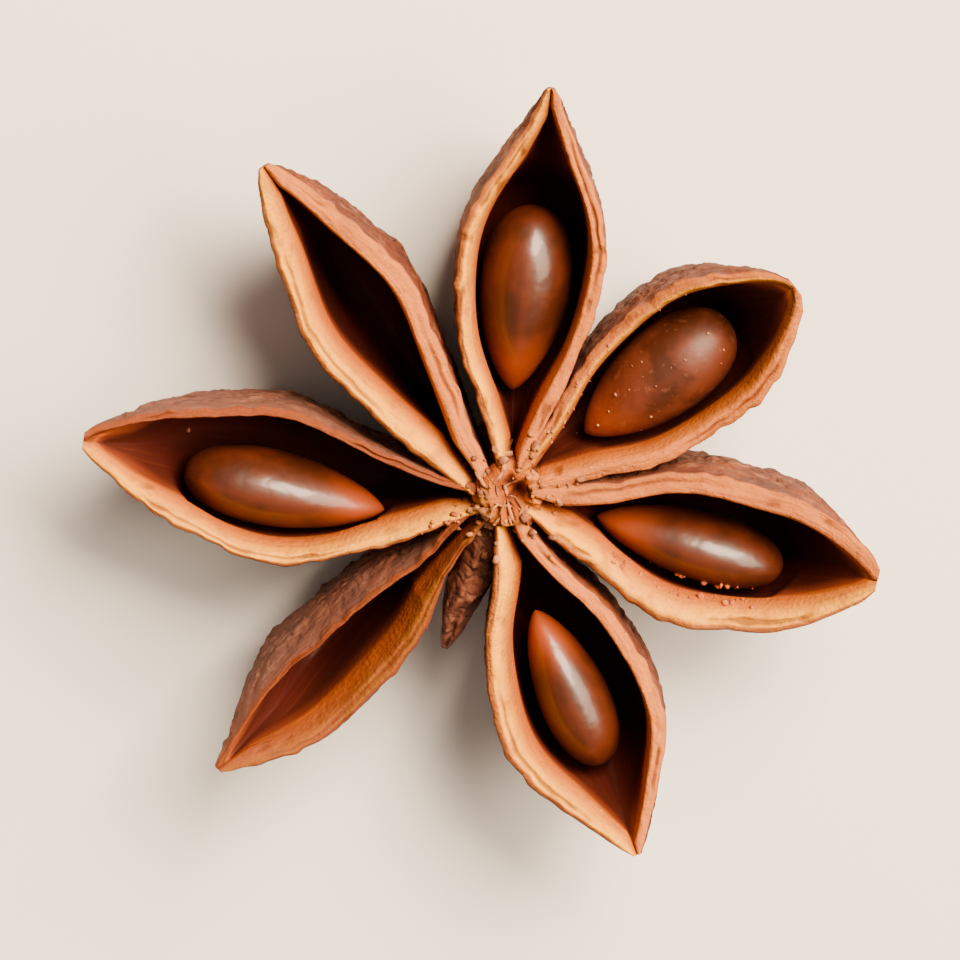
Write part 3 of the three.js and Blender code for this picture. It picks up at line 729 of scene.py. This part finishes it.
def column_surface():
    """The short column: knobbly stalk below, and a crumbly fibrous top with a pit in it."""
    profile = np.array(
        [
            [0.02, STALK_BOTTOM + 0.2],
            [0.45 * STALK_RADIUS, STALK_BOTTOM + 0.14],
            [0.85 * STALK_RADIUS, STALK_BOTTOM],
            [STALK_RADIUS, STALK_BOTTOM + 0.15],
            [1.05 * STALK_RADIUS, RECEPTACLE_BOTTOM],
            [0.7 * RECEPTACLE_RADIUS, RECEPTACLE_BOTTOM + 0.15],
            [RECEPTACLE_RADIUS, RECEPTACLE_BOTTOM + 0.9],
            [0.8 * RECEPTACLE_RADIUS, RECEPTACLE_BOTTOM + 2.2],
            [COLUMN_RADIUS, 0.6 * COLUMN_TOP],
            [COLUMN_RADIUS, 0.93 * COLUMN_TOP],
            [0.7 * COLUMN_RADIUS, COLUMN_TOP],
            [0.02, 0.985 * COLUMN_TOP],
        ]
    )
    last = len(profile) - 1
    crown_start = last - 2
    below = np.linspace(0, crown_start, COLUMN_ROWS + 1)
    above = np.linspace(crown_start, last, CROWN_ROWS + 1)[1:]
    steps = np.concatenate([below, above])
    radius = np.interp(steps, np.arange(len(profile)), profile[:, 0])[:, None]
    height = np.interp(steps, np.arange(len(profile)), profile[:, 1])[:, None]
    turn = -ring(COLUMN_SIDES)
    lump = 1 + COLUMN_LUMPS * np.sin(5 * turn) * np.sin(1.3 * height)
    x, y = radius * lump * np.cos(turn), radius * lump * np.sin(turn)
    spot = spots(x, y, height)
    crown = smooth(0.85 * COLUMN_TOP, COLUMN_TOP, height)
    rib = noise(spots(turn * 4.2, height / 3, 0), 41)
    crumb = ridges(spot, 42, cell=(0.45, 0.45, 0.9)) - 0.4
    fine = COLUMN_RIBS * rib + crown * COLUMN_CRUMBLE * crumb
    swell = 1 + fine / np.maximum(radius, 0.4)
    x, y = x * swell, y * swell
    pit = np.exp(-(((x - PIT_X) ** 2 + (y - PIT_Y) ** 2) / PIT_RADIUS**2))
    mound = np.exp(-(((x - MOUND_X) ** 2 + y**2 / 3) / MOUND_RADIUS**2))
    z = height + crown * (0.3 * crumb * smooth(0, 0.5, radius) + MOUND_HEIGHT * mound - PIT_DEPTH * pit)
    ones = np.ones_like(x)
    zones = dict(
        across=np.where(height > 0.9 * COLUMN_TOP, 0.3, -0.5) * ones,
        layer=0.9 * ones,
        # Through the lining's darkening: a browner top that varies at random, with painted shade in the
        # pit.
        shade=0.6 + 0.4 * pit + 0.6 * noise(spot, 43, cell=0.4),
        relief=fine * 4,
        grain_r=height * ones,
        grain_q=2 * turn * ones,
        wear_and_shade=COLUMN_WORN * ones,
    )
    return spots(COLUMN_X + x, COLUMN_Y + y, z), zones


# ---- The husk: everything joined, cut flat where it rests ----


def resting_block():
    """A block of everything under the plane that the pod rests on."""
    mesh = bpy.data.meshes.new("under")
    reach = 60 * MM
    corners = [(x, y, z) for x in (-reach, reach) for y in (-reach, reach) for z in (-reach, 0)]
    sides = [(0, 1, 3, 2), (4, 6, 7, 5), (0, 4, 5, 1), (2, 3, 7, 6), (0, 2, 6, 4), (1, 5, 7, 3)]
    mesh.from_pydata(corners, [], sides)
    return link("under", mesh)


def join_and_cut(husk, others):
    """Gives the husk the mesh of all the parts joined, without what lies under the resting plane."""
    group = bpy.data.collections.new("carpels")
    bpy.context.scene.collection.children.link(group)
    for part in others:
        group.objects.link(part)
    block = resting_block()
    join = husk.modifiers.new("join", "BOOLEAN")
    join.operation = "UNION"
    join.operand_type = "COLLECTION"
    join.collection = group
    join.solver = "MANIFOLD"
    cut = husk.modifiers.new("cut", "BOOLEAN")
    cut.operation = "DIFFERENCE"
    cut.object = block
    cut.solver = "MANIFOLD"
    bpy.context.view_layer.update()
    joined = bpy.data.meshes.new_from_object(husk.evaluated_get(bpy.context.evaluated_depsgraph_get()))
    husk.modifiers.clear()
    husk.data = joined
    for thing in [*others, block]:
        bpy.data.objects.remove(thing)
    bpy.data.collections.remove(group)


def pass_on_fields(mesh, surfaces):
    """Gives each point of the joined mesh the fields of the nearest point that it was joined from."""
    cloud = np.concatenate([points.reshape(-1, 3) for points, _ in surfaces]) * MM
    tree = kdtree.KDTree(len(cloud))
    for i, p in enumerate(cloud):
        tree.insert(p, i)
    tree.balance()
    nearest = np.array([tree.find(v.co)[1] for v in mesh.vertices])
    for key in surfaces[0][1]:
        values = np.concatenate([zones[key].reshape(-1) for _, zones in surfaces])
        store_field(mesh, key, values[nearest])


def build_husk():
    surfaces = [carpel_surface(c) for c in CARPELS] + [shut_surface(SHUT_CARPEL), column_surface()]
    splits = [2 * OUTER_STEPS] * len(CARPELS) + [SHUT_SIDES // 2, COLUMN_SIDES // 2]
    parts = []
    for i, ((points, _), split) in enumerate(zip(surfaces, splits)):
        parts.append(bpy.data.objects.new(f"part_{i}", tube_mesh(f"part_{i}", points, split)))
    husk, *others = parts
    husk.name = "husk"
    bpy.context.scene.collection.objects.link(husk)
    join_and_cut(husk, others)
    pass_on_fields(husk.data, surfaces)
    shade_smooth(husk.data)
    husk.data.update()
    return husk


# ---- Seeds ----


def build_seed(c):
    """A flattened egg with a seam along both edges, its scar at the narrow end."""
    seed = c["seed"]
    steps = np.linspace(0.012, 0.988, SEED_ROWS + 1)[:, None]
    along = -np.cos(steps * np.pi)
    turn = ring(SEED_SIDES)
    x = along * (seed["far"] - seed["near"]) / 2 + 0 * turn
    seam = np.exp(-((np.sin(turn) / SEED_SEAM_WIDTH) ** 2))
    girth = seed_girth(along) * (1 - SEED_FLATS * np.sin(2 * turn) ** 2 + SEED_SEAM_HEIGHT * seam)
    y = np.sin(turn) * girth * seed["width"] * 0.5
    z = np.cos(turn) * girth * seed["height"] * 0.5
    spot = spots(x, y, z)
    dent = 1 + SEED_DENTS * noise(spot / 1.6 + c["phase"], 51) + SEED_PITS * noise(spot, 52, cell=0.5)
    y, z = y * dent, z * dent
    s = seed_middle(c)
    middle = place(c, s, seed["side"], rim_height_at(c, s) - seed["drop"])
    heading = math.radians(c["azimuth"]) + math.atan(seed_slope(c) / c["length"])
    ahead, left = math.cos(heading), math.sin(heading)
    points = middle + spots(x * ahead - y * left, x * left + y * ahead, z)
    mesh = tube_mesh(f"seed_{c['name']}_coat", points, SEED_SIDES // 2)
    store_field(mesh, "along", along + 0 * turn)
    store_field(mesh, "seam", seam + 0 * along)
    shade_smooth(mesh)
    return link(f"seed_{c['name']}_coat", mesh)


# ---- Fibres and crumbs ----


def landing(tree, x, y):
    """Where something that falls straight down at x, y comes to lie, or None past the pod."""
    spot, _, _, _ = tree.ray_cast(Vector((x, y, 2 * RIM_HEIGHT)) * MM, Vector((0, 0, -1)))
    return np.array(spot) / MM if spot else None


def surface_tree(things):
    """A search tree over the surfaces of several pieces."""
    corners, faces = [], []
    for thing in things:
        start = len(corners)
        corners += [v.co for v in thing.data.vertices]
        faces += [tuple(start + i for i in p.vertices) for p in thing.data.polygons]
    return bvhtree.BVHTree.FromPolygons(corners, faces)


def loose_mesh(name, points, faces):
    mesh = bpy.data.meshes.new(name)
    mesh.from_pydata(points, [], faces)
    shade_smooth(mesh)
    return link(name, mesh)


def draw_fibre(tree, draw):
    """One fibre's path over the pod and its radius; the path ends where the ground steps away."""
    angle, start = draw.uniform(0, 2 * np.pi), draw.uniform(0.15, 1.0)
    heading = angle + draw.normal(0, 0.9)
    bend, length = draw.normal(0, 0.7), draw.uniform(0.4, 1.1)
    arch, radius = draw.uniform(0.02, 0.12), draw.uniform(0.05, 0.1)
    x, y = COLUMN_X - 0.25 + start * math.cos(angle), COLUMN_Y + start * math.sin(angle)
    step, drop = length / FIBRE_STEPS, 0.5
    path = []
    for i in range(FIBRE_STEPS + 1):
        spot = landing(tree, x, y)
        if spot is None or (path and abs(spot[2] - path[-1][2]) > drop):
            break
        path.append(spot + [0, 0, 0.7 * radius + arch * math.sin(math.pi * i / FIBRE_STEPS)])
        turn = heading + bend * i / FIBRE_STEPS
        x, y = x + step * math.cos(turn), y + step * math.sin(turn)
    return path, radius


def fibre_points(path, radius):
    """Rings of points round a path, thickest in its middle."""
    points = []
    for i, spot in enumerate(path):
        ahead = path[min(i + 1, len(path) - 1)] - path[max(i - 1, 0)]
        ahead = ahead / np.linalg.norm(ahead)
        across = np.cross(ahead, [0, 0, 1])
        across = across / np.linalg.norm(across)
        up = np.cross(across, ahead)
        thick = radius * (0.35 + 0.65 * math.sin(math.pi * (i + 0.4) / (len(path) - 0.2)))
        for k in range(FIBRE_SIDES):
            t = 2 * math.pi * k / FIBRE_SIDES
            points.append((spot + thick * (across * math.cos(t) + up * math.sin(t))) * MM)
    return points


def build_fibres(tree, draw):
    """Torn threads of the husk that lie over the column's top and the ends of the lips."""
    points, faces = [], []
    for _ in range(FIBRE_COUNT):
        path, radius = draw_fibre(tree, draw)
        if len(path) < FIBRE_SHORTEST:
            continue
        start, end = len(points), len(points) + (len(path) - 1) * FIBRE_SIDES
        points += fibre_points(path, radius)
        faces += [tuple(int(start + v) for v in face) for face in tube_faces(len(path), FIBRE_SIDES)]
        faces.append(tuple(range(start + FIBRE_SIDES - 1, start - 1, -1)))
        faces.append(tuple(range(end, end + FIBRE_SIDES)))
    return loose_mesh("column_fibres", points, faces)


def build_crumbs(name, tree, draw, scatters):
    """Irregular grains of broken husk, strewn over the scatters."""
    shape = bmesh.new()
    bmesh.ops.create_icosphere(shape, subdivisions=1, radius=1)
    ball = np.array([v.co for v in shape.verts])
    ball_faces = [tuple(v.index for v in f.verts) for f in shape.faces]
    shape.free()
    points, faces = [], []
    for carpel_name, (near, far), (left, right), count, middling in scatters:
        c = next(c for c in CARPELS if c["name"] == carpel_name)
        for _ in range(count):
            s, aside = draw.uniform(near, far) / c["length"], draw.uniform(right, left)
            x, y, _ = place(c, s, aside * half_width_at(c, s), rim_height_at(c, s))
            size = middling * draw.lognormal(0, CRUMB_SPREAD)
            lumps = 1 + CRUMB_LUMPS * draw.uniform(-1, 1, (len(ball), 1))
            stretch = draw.uniform(*CRUMB_STRETCH, 3)
            spin = Matrix.Rotation(draw.uniform(0, 2 * np.pi), 3, Vector(draw.normal(0, 1, 3)))
            spot = landing(tree, x, y)
            if spot is None:
                continue
            body = (ball * lumps * stretch) @ np.array(spin) * size
            base = len(points)
            points += list((body + spot + [0, 0, CRUMB_LIFT * size]) * MM)
            faces += [tuple(base + i for i in face) for face in ball_faces]
    return loose_mesh(name, points, faces)


# ---- Materials ----

MIX_FACTOR, MIX_UNDER, MIX_OVER, MIX_RESULT = 0, 6, 7, 2  # a colour Mix node's sockets


def linear(hex_colour):
    """An sRGB hex colour as linear RGBA."""
    channels = [int(hex_colour[i : i + 2], 16) / 255 for i in (1, 3, 5)]
    return (*[v / 12.92 if v <= 0.04045 else ((v + 0.055) / 1.055) ** 2.4 for v in channels], 1)


def add(tree, kind, inputs=None, output=0, **settings):
    """Adds a node and gives one of its outputs; inputs are values, or outputs of other nodes."""
    made = tree.nodes.new(kind)
    for key, value in settings.items():
        setattr(made, key, value)
    for key, value in (inputs or {}).items():
        if isinstance(value, bpy.types.NodeSocket):
            tree.links.new(value, made.inputs[key])
        else:
            made.inputs[key].default_value = value
    return made.outputs[output] if made.outputs else made


def new_material(name):
    material = bpy.data.materials.new(name)
    material.use_nodes = True
    material.node_tree.nodes.clear()
    return material, material.node_tree


def patterns(tree, coordinates, kinds):
    """Random patterns by name. Each lives in a set of coordinates, at a size in millimetres."""
    made = {}
    for name, (where, size, detail) in kinds.items():
        scale = tuple(1 / v for v in size)
        at = add(tree, "ShaderNodeMapping", {"Vector": coordinates[where], "Scale": scale})
        made[name] = add(tree, "ShaderNodeTexNoise", {"Vector": at, "Scale": 1.0, "Detail": detail})
    return made


def painted(tree, ground, coats):
    """Lays coats over a ground.

    A coat is a mask, the mask's values where it starts and where it is full, its strength and
    its colour. A colour is a hex value or the output of a node.
    """
    colour = linear(ground) if isinstance(ground, str) else ground
    for mask, start, full, strength, coat in coats:
        factor = add(
            tree, "ShaderNodeMapRange",
            {"Value": mask, "From Min": start, "From Max": full, "To Max": strength},
            interpolation_type="SMOOTHSTEP",
        )
        over = linear(coat) if isinstance(coat, str) else coat
        colour = add(
            tree, "ShaderNodeMix", {MIX_FACTOR: factor, MIX_UNDER: colour, MIX_OVER: over},
            MIX_RESULT, data_type="RGBA",
        )
    return colour


def husk_coordinates(tree):
    """Millimetres in space, and millimetres along and round a carpel for what follows its fibres."""
    place_at = add(tree, "ShaderNodeTexCoord", output="Object")
    in_mm = add(tree, "ShaderNodeVectorMath", {0: place_at, "Scale": 1 / MM}, operation="SCALE")
    along = add(tree, "ShaderNodeAttribute", output="Fac", attribute_name="grain_r")
    around = add(tree, "ShaderNodeAttribute", output="Fac", attribute_name="grain_q")
    return {"space": in_mm, "fibre": add(tree, "ShaderNodeCombineXYZ", {"X": along, "Y": around})}


def skin_colour(tree, field, pattern, crease, shallow):
    """Brown skin, redder in patches, with a painted highlight on its folds and painted shade between them
    and in its creases.
    """
    crease = add(tree, "ShaderNodeMath", {0: crease, 1: shallow}, operation="ADD")
    return painted(
        tree,
        "#582818",
        [
            (pattern["patch"], 0.44, 0.62, 0.8, "#74381A"),
            (pattern["cloud"], 0.48, 0.66, 0.75, "#42241E"),
            # Painted highlight on the folds.
            (field["relief"], 0.1, 0.9, 0.7, "#94593A"),
            # Painted shade between the folds and in the creases.
            (field["relief"], -0.1, -0.9, 0.9, "#260D07"),
            (pattern["vein"], 0.52, 0.7, 0.35, "#864A2A"),
            (pattern["blotch"], 0.53, 0.68, 0.4, "#9A6A4A"),
            # Painted shade in the cracks of the crust.
            (crease, 0.09, 0.0, 0.6, "#341409"),
            # Wear: greyer skin.
            (field["wear_and_shade"], 0.0, 1.0, 0.5, "#6E4C42"),
        ],
    )


def inside_colour(tree, field, pattern):
    """The torn lips, golden under a salmon brown outer layer, and the lining, darker with depth."""
    return painted(
        tree,
        "#E49C00",
        [
            # Painted shade: the golden face darkens towards the mouth.
            (field["across"], 0.38, 0.95, 0.9, "#A04E08"),
            # The salmon outer layer; the shaded lips are given more of it than the lit ones, so it is
            # partly painted shade.
            (field["layer"], 1.2, 0.75, 0.9, "#A85A2C"),
            # Painted shade at the lip's rounded outer edge.
            (field["across"], 0.12, 0.0, 0.6, "#80422A"),
            (pattern["patch"], 0.42, 0.62, 0.35, "#B86A28"),
            (pattern["thread"], 0.5, 0.72, 0.4, "#8A4818"),
            (pattern["grit"], 0.6, 0.72, 0.2, "#ECB468"),
            # Partly wear and partly painted shade: darker lips and lining on the halves that the light
            # reaches least.
            (field["wear_and_shade"], 0.0, 1.0, 0.85, "#5E2410"),
            (pattern["blotch"], 0.54, 0.7, 0.35, "#7C3E1C"),
            # Painted shade in the grain's grooves, the chips, the gap between a lip's layers and the
            # column's crumbly creases.
            (field["relief"], -0.2, -0.9, 0.75, "#5A260C"),
            # Painted shade, and partly the lining's own colour: darker the deeper it lies.
            (field["shade"], 0.2, 0.7, 0.9, "#964608"),
            (field["shade"], 0.6, 1.1, 1.0, "#602814"),
            (field["shade"], 1.0, 1.9, 1.0, "#36120A"),
            (field["shade"], 1.9, 3.2, 1.0, "#38100A"),
            (pattern["lining"], 0.52, 0.7, 0.2, "#5A260C"),
        ],
    )


def husk_bump(tree, pattern, crease, fibrous, crusty):
    """Threads and grit where the husk is fibrous, and creases where it has its crust."""
    height = add(tree, "ShaderNodeMath", {0: pattern["thread"], 1: pattern["grit"]}, operation="ADD")
    height = add(tree, "ShaderNodeMath", {0: height, 1: fibrous}, operation="MULTIPLY")
    height = add(tree, "ShaderNodeMath", {0: crease, 1: crusty, 2: height}, operation="MULTIPLY_ADD")
    return add(tree, "ShaderNodeBump", {"Height": height, "Strength": 0.8, "Distance": 0.1 * MM})


def husk_material():
    """Dry woody fruit wall.

    The skin is weather-beaten, matt and brown, redder in patches, with a painted highlight on its
    folds and painted shade between them and in the fine creases of its crust. The torn lips are
    fibrous: salmon brown in the outer layer, golden in the inner one, with painted shade towards
    the mouth, at the outer edge, in the chips and, partly, on the halves that the light reaches
    least. The lining is a satin film, ochre below the mouth and almost black where it is deep,
    partly its own colour and partly painted shade. The grit and the threads are finer on a real
    husk; here they are drawn as coarse as they need to be to show.
    """
    material, tree = new_material("dried_woody_husk")
    field = {
        name: add(tree, "ShaderNodeAttribute", output="Fac", attribute_name=name)
        for name in ("across", "layer", "shade", "relief", "wear_and_shade")
    }
    pattern = patterns(
        tree,
        husk_coordinates(tree),
        {
            "patch": ("space", (3.2, 3.2, 3.2), 3.0),
            "cloud": ("space", (2.0, 2.0, 2.0), 3.0),
            "blotch": ("space", (0.8, 0.8, 0.8), 3.0),
            "crust": ("space", (1.0, 1.0, 1.0), 2.0),
            "grit": ("space", (0.2, 0.2, 0.2), 4.0),
            "vein": ("fibre", (3.0, 0.3, 1.0), 2.0),
            "thread": ("fibre", (1.8, 0.14, 1.0), 4.0),
            "lining": ("fibre", (5.0, 0.6, 1.0), 2.0),
        },
    )
    # Each changes evenly as the field across goes from a start to an end, between two values.
    change = {
        name: add(
            tree, "ShaderNodeMapRange",
            {"Value": field["across"], "From Min": start, "From Max": end, "To Min": first, "To Max": last},
        )
        for name, (start, end, first, last) in {
            # The cracks' painted shade fades out on the way to the lip.
            "shallow": (-0.5, -0.05, 0.0, 0.05),  # fills up the creases' colour on the way to the lip
            "crusty": (-0.02, -0.35, 0.0, 11.0),  # height of the creases, from the lip to the keel
            "fibrous": (0.9, 1.3, 1.0, 0.2),  # height of threads and grit, less on the lining
            "roughness": (0.9, 1.3, 0.7, 0.5),
        }.items()
    }
    # The crust pattern's middle value makes thin lines: its distance from there is 0 in a crease.
    crease = add(tree, "ShaderNodeMath", {0: pattern["crust"], 1: 0.5}, operation="SUBTRACT")
    crease = add(tree, "ShaderNodeMath", {0: crease}, operation="ABSOLUTE")
    skin = skin_colour(tree, field, pattern, crease, change["shallow"])
    inside = inside_colour(tree, field, pattern)
    colour = painted(tree, skin, [(field["across"], -0.015, 0.04, 1.0, inside)])
    bump = husk_bump(tree, pattern, crease, change["fibrous"], change["crusty"])
    shader = add(
        tree, "ShaderNodeBsdfPrincipled",
        {
            "Base Color": colour, "Roughness": change["roughness"], "Normal": bump,
            "Specular IOR Level": 0.15,
        },
    )
    add(tree, "ShaderNodeOutputMaterial", {"Surface": shader})
    return material


def crumb_material(name, dark, pale):
    """Broken husk: matt grains of torn fibre, each a little paler or darker than the next."""
    material, tree = new_material(name)
    place_at = add(tree, "ShaderNodeTexCoord", output="Object")
    shade = add(tree, "ShaderNodeTexNoise", {"Vector": place_at, "Scale": 1 / (0.5 * MM), "Detail": 3.0})
    colour = painted(tree, dark, [(shade, 0.4, 0.65, 1.0, pale)])
    bump = add(tree, "ShaderNodeBump", {"Height": shade, "Strength": 0.5, "Distance": 0.05 * MM})
    shader = add(tree, "ShaderNodeBsdfPrincipled", {"Base Color": colour, "Roughness": 0.8, "Normal": bump})
    add(tree, "ShaderNodeOutputMaterial", {"Surface": shader})
    return material


def seed_material(name, roughness, coat, dust):
    """Hard seed coat, polished by nature: chestnut brown, and orange towards the scar.

    coat is how much of the polish is left, and dust is 1 where fine husk dust clings to the seed.
    """
    material, tree = new_material(name)
    place_at = add(tree, "ShaderNodeTexCoord", output="Object")
    along = add(tree, "ShaderNodeAttribute", output="Fac", attribute_name="along")
    seam = add(tree, "ShaderNodeAttribute", output="Fac", attribute_name="seam")
    cloud = add(tree, "ShaderNodeTexNoise", {"Vector": place_at, "Scale": 1 / (1.8 * MM), "Detail": 3.0})
    speck = add(tree, "ShaderNodeTexNoise", {"Vector": place_at, "Scale": 1 / (0.35 * MM), "Detail": 2.0})
    colour = painted(
        tree,
        "#361403",
        [
            (cloud, 0.38, 0.66, 0.7, "#501E06"),
            (seam, 0.3, 1.0, 0.2, "#602610"),
            (along, -0.2, -1.0, 0.85, "#983F12"),
            (cloud, 0.4, 0.6, 0.25 * dust, "#6A3420"),
            (speck, 0.6, 0.7, 0.12 * dust, "#9A6244"),
        ],
    )
    uneven = add(tree, "ShaderNodeBump", {"Height": cloud, "Strength": 0.22, "Distance": 0.35 * MM})
    shader = add(
        tree, "ShaderNodeBsdfPrincipled",
        {
            "Base Color": colour, "Roughness": roughness, "Specular IOR Level": 0.35, "Normal": uneven,
            "Coat Weight": coat, "Coat Roughness": 0.21, "Coat IOR": 1.7, "Coat Normal": uneven,
        },
    )
    add(tree, "ShaderNodeOutputMaterial", {"Surface": shader})
    return material


def floor_material():
    """Matt white board."""
    material, tree = new_material("matt_board")
    shader = add(tree, "ShaderNodeBsdfPrincipled", {"Base Color": linear("#E9E7E4"), "Roughness": 0.9})
    add(tree, "ShaderNodeOutputMaterial", {"Surface": shader})
    return material


# ---- Building ----


def finish(piece, material, slot, *nodes):
    """Gives a piece its material, sets it on the pod and hides the solids that it stands for."""
    piece.data.materials.clear()
    piece.data.materials.append(material)
    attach(piece, "root")
    if nodes:
        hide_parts(*nodes)


husk = build_husk()
finish(husk, husk_material(), "husk", "pod")
polished = seed_material("polished_seed_coat", roughness=0.44, coat=0.28, dust=0.0)
dusty = seed_material("dusty_seed_coat", roughness=0.5, coat=0.0, dust=1.0)
seeds = []
for carpel in CARPELS:
    if carpel["seed"]:
        seed = build_seed(carpel)
        look = dusty if carpel["name"] == "north_east" else polished
        finish(seed, look, "seed_coat", f"seed_{carpel['name']}")
        seeds.append(seed)

draw = np.random.default_rng(5)
ground = surface_tree([husk, *seeds])
finish(build_fibres(ground, draw), crumb_material("torn_husk_fibre", "#7A4422", "#AC7240"), "husk")
for name, scatters, material_name, dark, pale in [
    ("pale_crumbs", PALE_CRUMBS, "pale_husk_crumb", "#7E4428", "#A86C46"),
    ("column_crumbs", COLUMN_CRUMBS, "brown_husk_crumb", "#6E3A1C", "#A8703C"),
    ("amber_crumbs", AMBER_CRUMBS, "amber_husk_crumb", "#8A3C14", "#C0682A"),
]:
    finish(build_crumbs(name, ground, draw, scatters), crumb_material(material_name, dark, pale), "husk")


# ---- Floor, lights and camera ----

FLOOR_REACH = 600
VIEW_ELEVATION = 75.0
VIEW_WIDTH = 41.25  # what the camera sees across, at the height of the lips
VIEW_DISTANCE = 400.0
TARGET = Vector((COLUMN_X - 1.22, COLUMN_Y, RIM_HEIGHT))
TARGET_LIFT = 0.75  # how far up the frame from the column's top the camera looks


def build_floor():
    mesh = bpy.data.meshes.new("floor")
    reach = FLOOR_REACH * MM
    corners = [(-reach, -reach, 0), (reach, -reach, 0), (reach, reach, 0), (-reach, reach, 0)]
    mesh.from_pydata(corners, [], [(0, 1, 2, 3)])
    mesh.materials.append(floor_material())
    link("floor", mesh)


def build_camera():
    """A long lens on the pod, nearly straight above it."""
    elevation = math.radians(VIEW_ELEVATION)
    right = Vector((1, 0, 0))
    up = Vector((0, math.sin(elevation), -math.cos(elevation)))
    back = Vector((0, math.cos(elevation), math.sin(elevation)))
    data = bpy.data.cameras.new("camera")
    data.lens = data.sensor_width * VIEW_DISTANCE / VIEW_WIDTH
    data.clip_start = 0.01
    data.clip_end = 10
    camera = link("camera", data)
    turn = Matrix((right, up, back)).transposed().to_4x4()
    target = TARGET + up * TARGET_LIFT
    camera.matrix_world = Matrix.Translation((target + back * VIEW_DISTANCE) * MM) @ turn
    bpy.context.scene.camera = camera


def area_light(name, azimuth, elevation, distance, size, power, colour):
    """A soft square light that looks at the pod.

    Its azimuth is in degrees anticlockwise from +X, its distance and size are in metres and its
    power is in watts.
    """
    data = bpy.data.lights.new(name, "AREA")
    data.size = size
    data.energy = power
    data.color = linear(colour)[:3]
    lamp = link(name, data)
    turn, tilt = math.radians(azimuth), math.radians(elevation)
    flat = math.cos(tilt)
    spot = Vector((math.cos(turn) * flat, math.sin(turn) * flat, math.sin(tilt))) * distance
    lamp.location = spot
    lamp.rotation_euler = spot.to_track_quat("Z", "Y").to_euler()


def build_world():
    """A dim warm sky, which lifts the shadows a little."""
    world = bpy.data.worlds.new("world")
    world.use_nodes = True
    sky = world.node_tree.nodes["Background"]
    sky.inputs["Color"].default_value = linear("#EADFD4")
    sky.inputs["Strength"].default_value = 0.12
    bpy.context.scene.world = world


build_floor()
build_camera()
area_light("key", azimuth=56, elevation=45, distance=0.5, size=0.26, power=11.5, colour="#FFE4C4")
area_light("side", azimuth=14, elevation=40, distance=0.5, size=0.35, power=6.0, colour="#FFE4C4")
area_light("fill", azimuth=250, elevation=78, distance=0.6, size=1.2, power=1.5, colour="#FFE6D0")
build_world()
